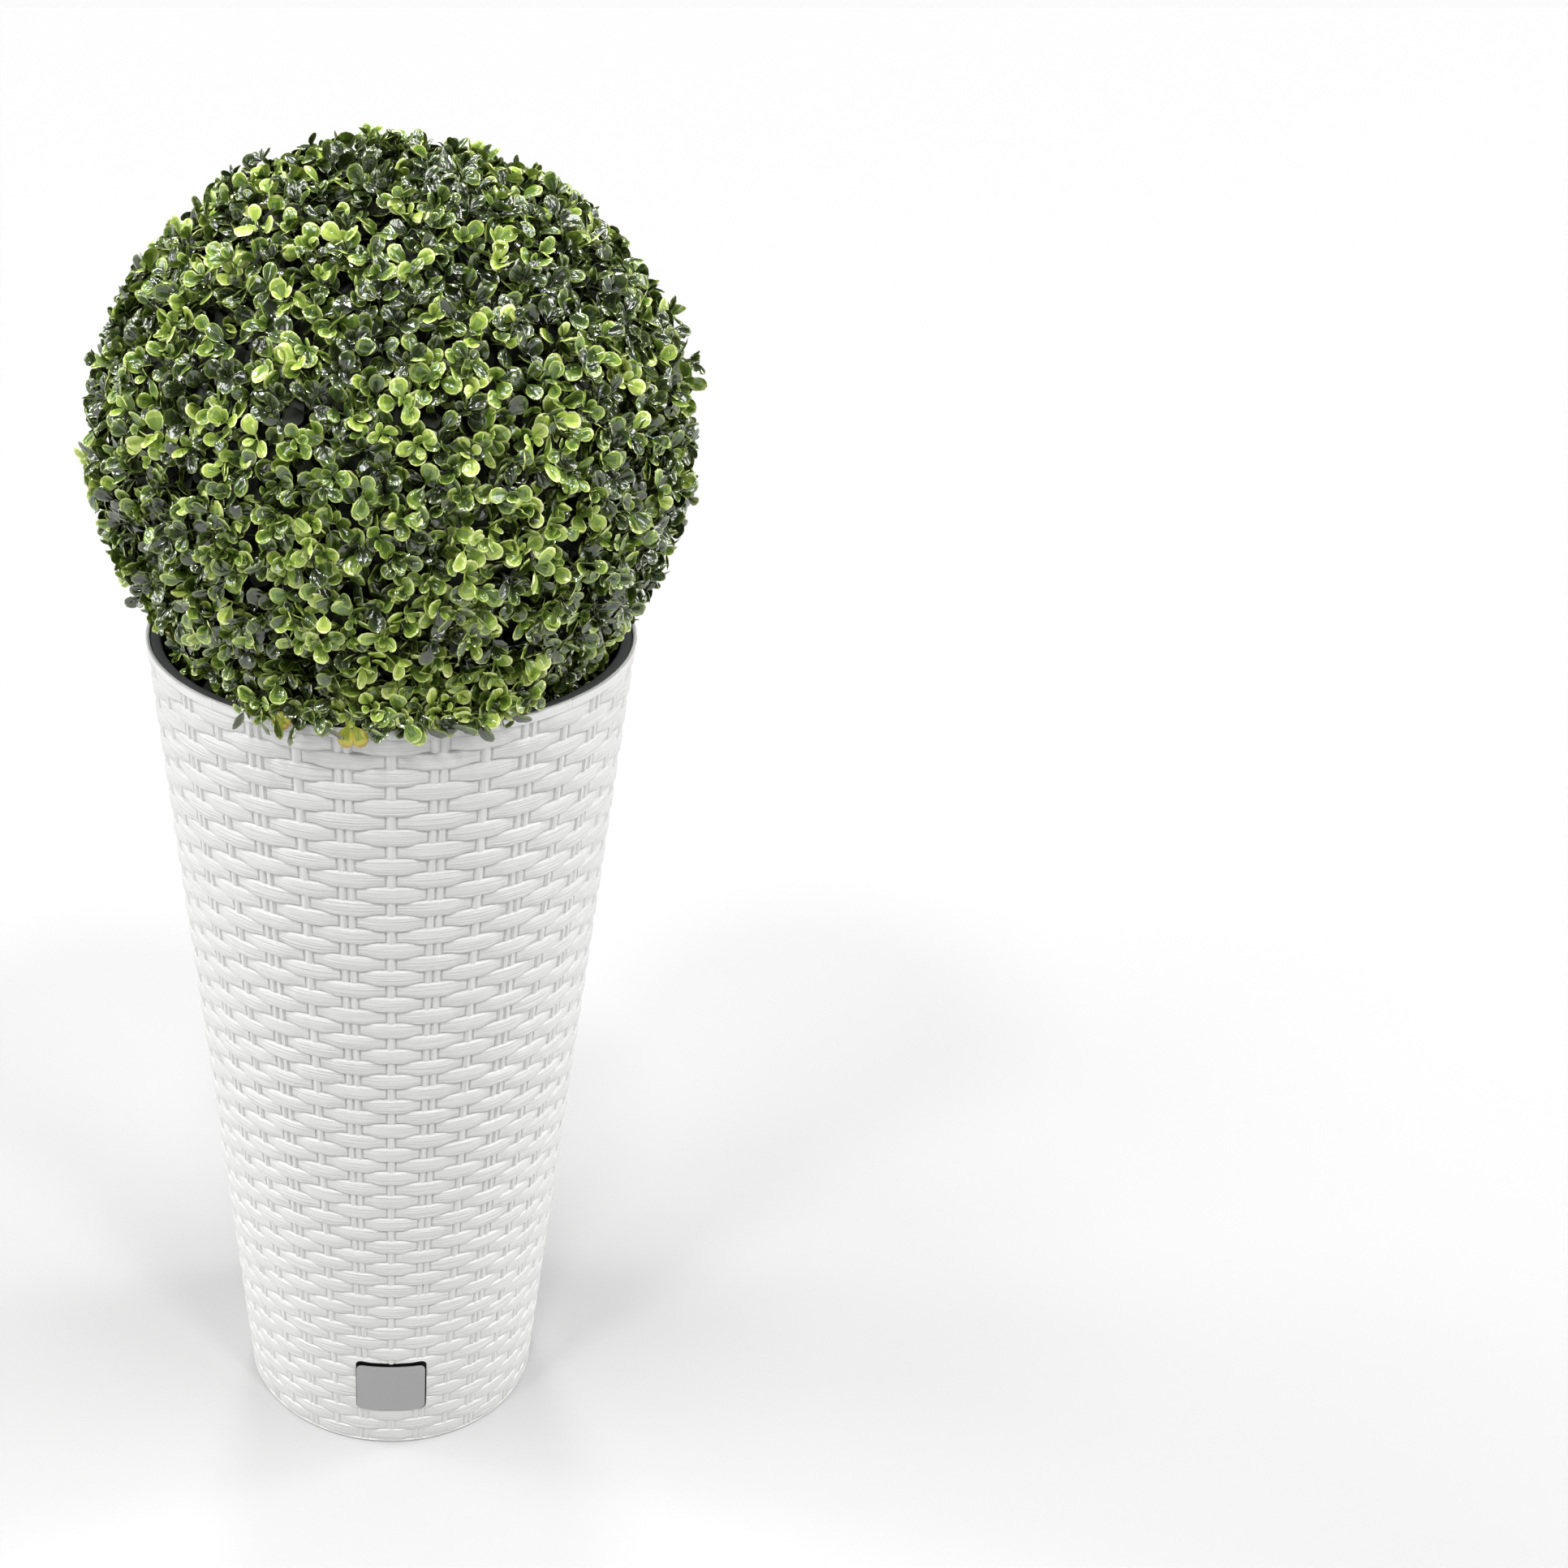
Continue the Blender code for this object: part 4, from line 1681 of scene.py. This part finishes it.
    def pick_tint(self, rng: random.Random, direction: Vector) -> int:
        """Picks a green for a sprig. The crown and the flanks are often a tint darker, as painted
        shade, and the rest often a tint lighter, as painted light.

        Args:
            rng: The ball's own random numbers.
            direction: The unit direction in which the sprig points.

        Returns:
            Index of the tint, which is neither INNER nor AMBER.
        """
        tint = rng.choices(range(len(LeafTint)), weights=self.TINT_WEIGHTS)[0]
        # Painted light and shade: lighter below the crown at front and back, darker on crown and
        # flanks.
        bright = direction.z < self.CROWN_START and abs(direction.x) < self.FLANK_START
        if rng.random() < (self.LIGHTER_CHANCE if bright else self.DARKER_CHANCE):
            tint += 1 if bright else -1
        return min(max(tint, 1), len(LeafTint) - 2)

    def grow(self) -> None:
        """Grows every sprig: a main twig, and side twigs with rosettes of their own."""
        rng = random.Random(self.seed)
        for index in range(self.sprigs):
            direction = self.spiral_direction(index, self.sprigs)
            if direction.z < self.lowest:
                continue
            lean = Vector([rng.uniform(-self.lean, self.lean) for _ in range(3)])
            slack = self.stray if rng.random() < self.strays else 0.0
            base = Matrix.Translation(self.core_point(direction) + slack * direction)
            base = base @ self.facing((direction + lean).normalized(), rng.uniform(0.0, math.tau))
            tint = self.pick_tint(rng, direction)
            in_band = abs(direction.y - self.AMBER_TILT * direction.z) < self.AMBER_BAND
            if slack and in_band and rng.random() < self.AMBER_CHANCE:
                self.add_rosette(rng, base, 3, self.AMBER_SIZE, len(LeafTint) - 1, slack)
                continue
            self.add_rosette(rng, base, 3, 1.0, tint, slack)
            if rng.random() < self.SIDE_CHANCE:
                up = rng.uniform(*self.SIDE_PLACES) * self.internode
                side = base @ Matrix.Translation((0.0, 0.0, up))
                side = side @ Matrix.Rotation(rng.uniform(0.0, math.tau), 4, "Z")
                tilt = math.radians(rng.uniform(*self.SIDE_ANGLES))
                side = side @ Matrix.Rotation(tilt, 4, "Y")
                shade = min(max(tint + rng.choice(self.SIDE_TINTS), 1), len(LeafTint) - 2)
                self.add_rosette(rng, side, 1, self.SIDE_SIZE, shade)
        self.grow_skirt(rng)

    def grow_skirt(self, rng: random.Random) -> None:
        """Grows the sprigs that rest in the pot's mouth, and lie over the rim at the front.

        Args:
            rng: The ball's own random numbers.
        """
        jitter = self.SKIRT_JITTER
        for index in range(self.skirt_sprigs):
            turn = FRONT + math.tau * index / self.skirt_sprigs + rng.uniform(-jitter, jitter)
            above = rng.uniform(*self.SKIRT_HEIGHTS) * MM
            self.add_skirt_sprig(rng, turn, above, self.SKIRT_FOOT)
        for index in range(self.front_sprigs):
            across = 2.0 * (index + 0.5) / self.front_sprigs - 1.0
            above = rng.uniform(*self.FRONT_HEIGHTS) * MM
            self.add_skirt_sprig(rng, FRONT + self.front_spread * across, above, self.FRONT_FOOT)
        for turn, above, swing, roll, tint in self.RIM_LEAVES:
            self.hang_leaf(rng, turn, above * MM, swing, roll, tint)

    def hang_leaf(self, rng: random.Random, turn: float, above: float, swing: float, roll: float,
                  tint: LeafTint) -> None:
        """Hangs one leaf over the rim by its twig.

        Args:
            rng: The ball's own random numbers.
            turn: Its angle from the planter's front, to the right.
            above: Height of its foot above the rim.
            swing: Its swing from hanging straight down, to the right.
            roll: Its turn about its own length, 0 with its face outwards.
            tint: Its tint.
        """
        out = Vector((math.sin(turn), -math.cos(turn), 0.0))
        up = Vector((0.0, 0.0, 1.0))
        beside = up.cross(out)
        radius = self.HANG_RADIUS + self.HANG_SPREAD * math.sin(roll)
        foot = radius * out + (self.rim_height + above) * up
        twist = rng.uniform(-self.HANG_TWIST, self.HANG_TWIST)
        face = (out + self.HANG_TIP * up + twist * beside).normalized()
        along = math.sin(swing) * beside - math.cos(swing) * up
        along = (along - along.dot(face) * face).normalized()
        face = Matrix.Rotation(roll, 3, along) @ face
        place = Matrix((along, face.cross(along), face)).transposed().to_4x4()
        place.translation = foot
        length = self.leaf_length * rng.uniform(0.8, 0.95)
        width = self.leaf_width * rng.uniform(0.85, 1.0)
        bends = {"cup": -0.12, "pillow": 0.07, "droop": 0.12}
        self.leaves.append(Leaf(place, length, width, tint=tint, depth=LeafDepth.TIP, **bends))
        self.twigs.append((foot - 0.022 * out + 0.006 * up, foot, 1.0, 0.7))

    def add_skirt_sprig(self, rng: random.Random, turn: float, above: float, foot: float) -> None:
        """Grows one sprig outwards at the rim.

        Args:
            rng: The ball's own random numbers.
            turn: Its angle about the planter's axis.
            above: Its height above the rim.
            foot: Radius at which it starts, at the rim's height.
        """
        radius = foot + self.SKIRT_FLARE * above
        place = (radius * math.cos(turn), radius * math.sin(turn), self.rim_height + above)
        tilt = rng.uniform(-0.35, 0.15) if above > 0 else rng.uniform(-0.25, 0.35)
        axis = Vector((math.cos(turn), math.sin(turn), tilt)).normalized()
        base = Matrix.Translation(place) @ self.facing(axis, rng.uniform(0.0, math.tau))
        self.add_rosette(rng, base, 3, 1.0, self.pick_tint(rng, axis))

    def leaf_mesh(self, shape: LeafShape, leaves: list[Leaf]) -> tuple[Points, Faces, Faces]:
        """Sets every leaf of a list in its place.

        A blade is cupped across and along, swells beside its midrib and droops to its tip.

        Args:
            shape: The leaf template.
            leaves: The leaves.

        Returns:
            Their points, faces and colour zones.
        """
        stalk, blade_length, blade_middle, blade_half = 0.18, 0.82, 0.58, 0.42
        matrices = np.array([leaf.place for leaf in leaves])
        length = np.array([leaf.length for leaf in leaves])[:, None]
        width = np.array([leaf.width for leaf in leaves])[:, None]
        cup = np.array([leaf.cup for leaf in leaves])[:, None]
        pillow = np.array([leaf.pillow for leaf in leaves])[:, None]
        droop = np.array([leaf.droop for leaf in leaves])[:, None]
        u, v, line = shape.points.T
        blade = np.clip((u - stalk) / blade_length, 0.0, 1.0)
        middle = np.clip((u - blade_middle) / blade_half, -1.0, 1.0)
        x = length * u
        y = width / 2 * v
        swell = pillow * np.sin(np.pi * np.abs(line)) ** 0.8 * np.sin(np.pi * blade) ** 0.5
        lift = cup * (0.55 * v**2 + 0.35 * middle**2 * blade - 0.2 * blade) + swell
        veins = np.random.default_rng(len(leaves)).normal(0.0, self.vein, (len(leaves), len(u)))
        z = length * (lift + veins * (blade > 0.0) - droop * u**2)
        local = np.stack([x, y, z], axis=-1)
        points = np.einsum("nij,npj->npi", matrices[:, :3, :3], local) + matrices[:, None, :3, 3]
        count = len(shape.points)
        faces = shape.faces[None] + count * np.arange(len(leaves))[:, None, None]
        return points.reshape(-1, 3), faces.reshape(-1, 3), np.tile(shape.zones, len(leaves))

    def build_leaves(self) -> None:
        """Builds the joined leaves of each tint and depth, in pieces small enough to export."""
        for tint in LeafTint:
            materials = [finish.material() for finish in tint.finishes()]
            for depth in LeafDepth:
                shape = LeafShape(depth)
                most = self.most_faces // len(shape.faces)
                leaves = [leaf for leaf in self.leaves if leaf.tint is tint and leaf.depth is depth]
                share = -(-len(leaves) // most)
                for part in range(share):
                    some = leaves[part::share]
                    points, faces, zones = self.leaf_mesh(shape, some)
                    name = f"leaves_{tint.label}_{depth.value}_{part + 1}"
                    piece = mesh_object(name, points, faces, materials, zones)
                    self.crease_midribs(piece, shape)
                    LOG.info("%s: %d leaves", piece.name, len(some))
                    settle(piece, "foliage_green", "foliage_ball")

    @staticmethod
    def crease_midribs(piece: bpy.types.Object, shape: LeafShape) -> None:
        """Marks the edges along every midrib as sharp, so that light breaks there.

        Args:
            piece: A piece of joined leaves.
            shape: Their template.
        """
        mesh = piece.data
        ends = np.empty(len(mesh.edges) * 2, np.int32)
        mesh.edges.foreach_get("vertices", ends)
        on_midrib = np.isin(ends % len(shape.points), shape.midrib).reshape(-1, 2).all(axis=1)
        layer = mesh.attributes.new("sharp_edge", "BOOLEAN", "EDGE")
        layer.data.foreach_set("value", on_midrib)

    def build_twigs(self) -> None:
        """Builds all twigs as one piece of three-sided tapering rods."""
        turns = math.tau * np.arange(3) / 3
        points, faces = [], []
        for number, (start, end, thick, thin) in enumerate(self.twigs):
            axis = end - start
            frame = self.facing(axis.normalized(), 0.0).to_3x3()
            for foot, scale in ((start - 0.3 * axis, thick), (end, thin)):
                for turn in turns:
                    spoke = Vector((math.cos(turn), math.sin(turn), 0.0)) * self.twig_radius * scale
                    points.append(foot + frame @ spoke)
            o = 6 * number
            for k in range(3):
                n = (k + 1) % 3
                faces.extend([(o + k, o + n, o + 3 + n), (o + k, o + 3 + n, o + 3 + k)])
            faces.extend([(o, o + 2, o + 1), (o + 3, o + 4, o + 5)])
        finish = MouldedPlastic("moulded_olive_polyethylene", colour="#4C5A2A", roughness=0.5)
        piece = mesh_object("twigs", np.array(points), np.array(faces), [finish.material()])
        settle(piece, "foliage_green", "foliage_ball")

    def build_core(self) -> None:
        """Builds the dark frame inside the leaves: a ball with a moulded grid of ribs."""
        # Black-green polyethylene, dull with dust. Its near-black colour also paints the shade, so
        # that the gaps between the leaves stay dark.
        finish = GrainedPlastic(
            "moulded_black_green_polyethylene",
            colour="#080B05",
            shade="#040503",
            roughness=0.95,
            grain_mm=1.0,
            depth_mm=0.05,
        )
        bm = bmesh.new()
        bmesh.ops.create_icosphere(bm, subdivisions=5, radius=1.0)
        for vertex in bm.verts:
            direction = vertex.co.normalized()
            turn, rise = math.atan2(direction.y, direction.x), math.asin(direction.z)
            rib = max(abs(math.sin(self.core_ribs * turn)), abs(math.sin(self.core_ribs * rise)))
            sunk = direction * self.core_sink * (1.0 + (1.0 - rib**4))
            vertex.co = self.core_point(direction) - sunk
        mesh = bpy.data.meshes.new("ball_frame")
        bm.to_mesh(mesh)
        bm.free()
        mesh.materials.append(finish.material())
        mesh.shade_smooth()
        piece = bpy.data.objects.new("ball_frame", mesh)
        bpy.context.scene.collection.objects.link(piece)
        settle(piece, "foliage_green", "foliage_ball")

    def build(self) -> None:
        """Grows the ball and builds its leaves, twigs and core."""
        self.grow()
        self.build_leaves()
        self.build_twigs()
        self.build_core()


@dataclass(frozen=True)
class Softbox:
    """One bright patch of the studio's tent, far enough away to light everything evenly.

    Attributes:
        azimuth: Degrees from the planter's front, with the left positive.
        elevation: Degrees above the floor.
        half_angle: Half of its apparent width, in degrees.
        strength: Its radiance.
        soft_edge: Half width of its soft edge, as a share of half_angle.
    """

    azimuth: float
    elevation: float
    half_angle: float
    strength: float
    soft_edge: float = 0.25

    def direction(self) -> tuple[float, float, float]:
        """Points from the planter to the patch.

        Returns:
            The unit direction.
        """
        azimuth, elevation = math.radians(self.azimuth), math.radians(self.elevation)
        across = math.cos(elevation)
        return -across * math.sin(azimuth), -across * math.cos(azimuth), math.sin(elevation)

    def cosine(self, side: float) -> float:
        """Cosine at the soft edge: outside for side 1, inside for side -1."""
        return math.cos(math.radians(self.half_angle * (1.0 + side * self.soft_edge)))

    @classmethod
    def cluster(cls, azimuth: float, elevation: float, spread: float, half_angle: float,
                strength: float) -> list["Softbox"]:
        """Five patches, one in the middle of four, which glossy leaves show as separate glints.

        Args:
            azimuth: Degrees from the planter's front to the middle one.
            elevation: Degrees above the floor to the middle one.
            spread: Degrees from the middle one to the others, sideways and upwards.
            half_angle: Half of each one's apparent width, in degrees.
            strength: Radiance of each.

        Returns:
            The patches.
        """
        places = [(0, 0), (-1, -1), (-1, 1), (1, -1), (1, 1)]
        least = 0.2  # keeps a cluster overhead from spreading round the whole tent
        wide = spread / max(math.cos(math.radians(elevation)), least)
        return [
            cls(azimuth + x * wide, elevation + z * spread, half_angle, strength) for x, z in places
        ]


@dataclass
class Studio:
    """A pale floor, a tent with soft boxes round the planter, and the camera.

    Attributes:
        camera_place: Where the camera stands, in metres.
        camera_pitch: How far it looks down, in degrees.
        lens: Its focal length, in millimetres.
        sensor: Width of its sensor, in millimetres.
        shift: Its shift to the right, which puts the planter at the left of the frame.
        floor_colour: sRGB colour of the floor.
        floor_roughness: Roughness of the floor.
        floor_reach: Half of the floor's width, in metres.
        floor_gap: Gap between the floor and the planter.
        tent: Radiance of the tent between the soft boxes.
        backdrop: Radiance of the backdrop that the camera sees.
        softboxes: The soft boxes.
    """

    camera_place: Vector = field(default_factory=lambda: Vector((0.0, -1.496, 1.383)))
    camera_pitch: float = 27.18
    lens: float = 45.69
    sensor: float = 36.0
    shift: float = 0.2505
    floor_colour: str = "#B6B6B6"
    floor_roughness: float = 0.9
    floor_reach: float = 12.0
    floor_gap: float = 0.2 * MM
    tent: float = 0.05
    backdrop: float = 0.97
    softboxes: tuple[Softbox, ...] = (
        *Softbox.cluster(azimuth=84, elevation=25, spread=20, half_angle=8.5, strength=7.2),
        *Softbox.cluster(azimuth=-84, elevation=25, spread=20, half_angle=8.5, strength=7.0),
        *Softbox.cluster(azimuth=0, elevation=80, spread=16, half_angle=6, strength=9.0),
        Softbox(azimuth=0, elevation=16, half_angle=12, strength=1.4),
        Softbox(azimuth=42, elevation=50, half_angle=4, strength=44.0),
        Softbox(azimuth=-32, elevation=56, half_angle=3.5, strength=52.0),
        Softbox(azimuth=5, elevation=66, half_angle=3.5, strength=50.0),
        Softbox(azimuth=100, elevation=42, half_angle=4.5, strength=18.0),
        Softbox(azimuth=-105, elevation=45, half_angle=4.5, strength=18.0),
        Softbox(azimuth=175, elevation=60, half_angle=5, strength=28.0),
    )

    def build_camera(self) -> None:
        """Places the camera in front of the planter, looking down on it."""
        data = bpy.data.cameras.new("camera")
        data.lens = self.lens
        data.sensor_width = self.sensor
        data.shift_x = self.shift
        camera = bpy.data.objects.new("camera", data)
        camera.location = self.camera_place
        camera.rotation_euler = (math.radians(90.0 - self.camera_pitch), 0.0, 0.0)
        bpy.context.scene.collection.objects.link(camera)
        bpy.context.scene.camera = camera

    def build_floor(self) -> None:
        """Lays a wide pale floor just under the planter."""
        material, shader = new_shader("pale_studio_floor")
        shader.inputs["Base Color"].default_value = linear(self.floor_colour)
        shader.inputs["Roughness"].default_value = self.floor_roughness
        corners = [(-1, -1, 0), (1, -1, 0), (1, 1, 0), (-1, 1, 0)]
        points = self.floor_reach * np.array(corners, float)
        floor = mesh_object("studio_floor", points, np.array([[0, 1, 2, 3]]), [material])
        floor.location.z = -self.floor_gap

    def build_tent(self) -> None:
        """Builds the tent of even light, with its soft boxes, behind a plain white backdrop."""
        world = bpy.data.worlds.new("studio_tent")
        world.use_nodes = True
        tree = world.node_tree
        background = tree.nodes["Background"]
        background.inputs["Color"].default_value = linear("#FFFFFF")
        place = add_node(tree, "ShaderNodeTexCoord")
        level = None
        for box in self.softboxes:
            facing = add_node(
                tree,
                "ShaderNodeVectorMath",
                {"operation": "DOT_PRODUCT"},
                {0: place.outputs["Generated"], 1: box.direction()},
            )
            patch = add_node(
                tree,
                "ShaderNodeMapRange",
                {"interpolation_type": "SMOOTHSTEP"},
                {
                    "Value": facing.outputs["Value"],
                    "From Min": box.cosine(1.0),
                    "From Max": box.cosine(-1.0),
                    "To Min": 0.0 if level else self.tent,
                    "To Max": box.strength,
                },
            )
            if level:
                patch = add_node(
                    tree,
                    "ShaderNodeMath",
                    {"operation": "ADD"},
                    {0: level, 1: patch.outputs["Result"]},
                )
            level = patch.outputs[0]
        path = add_node(tree, "ShaderNodeLightPath")
        seen = add_node(
            tree,
            "ShaderNodeMapRange",
            inputs={
                "Value": path.outputs["Is Camera Ray"],
                "To Min": level,
                "To Max": self.backdrop,
            },
        )
        tree.links.new(seen.outputs["Result"], background.inputs["Strength"])
        bpy.context.scene.world = world

    def build(self) -> None:
        """Builds the floor, the tent and the camera."""
        bpy.context.scene.view_settings.view_transform = "Standard"
        self.build_floor()
        self.build_tent()
        self.build_camera()


def main() -> None:
    """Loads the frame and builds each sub-assembly over it."""
    logging.basicConfig(level=logging.INFO, format="%(name)s %(message)s")
    for obj in list(bpy.data.objects):
        bpy.data.objects.remove(obj)
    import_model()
    shell_low, shell_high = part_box("planter_shell")
    fill_low, fill_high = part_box("liner_fill")
    stem_low, stem_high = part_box("stem")

    shell = WovenShell(height=shell_high.z, rim_radius=-shell_low.y, base_radius=136.0 * MM)
    plate = IndicatorPlate()
    shell.build(plate)
    plate.build(shell)
    taper = (shell.rim_radius - shell.base_radius) / shell.height
    liner = Liner(shell.rim_radius, shell.height, taper, lip=shell.lip)
    liner.build()
    play = 0.3 * MM
    Filling(
        top=fill_high.z,
        floor=fill_low.z,
        radius=-fill_low.y,
        foot_radius=liner.outer_radius(fill_low.z) - liner.wall - play,
    ).build()
    Stem(foot=stem_low.z, head=stem_high.z, foot_radius=34.0 * MM, radius=19.0 * MM).build()
    LeafBall(
        centre=Vector((0.0, 0.0, 913.0 * MM)),
        radius=239.5 * MM,
        half_height=233.0 * MM,
        rim_height=shell.height,
    ).build()
    Studio().build()


if __name__ == "__main__":
    main()
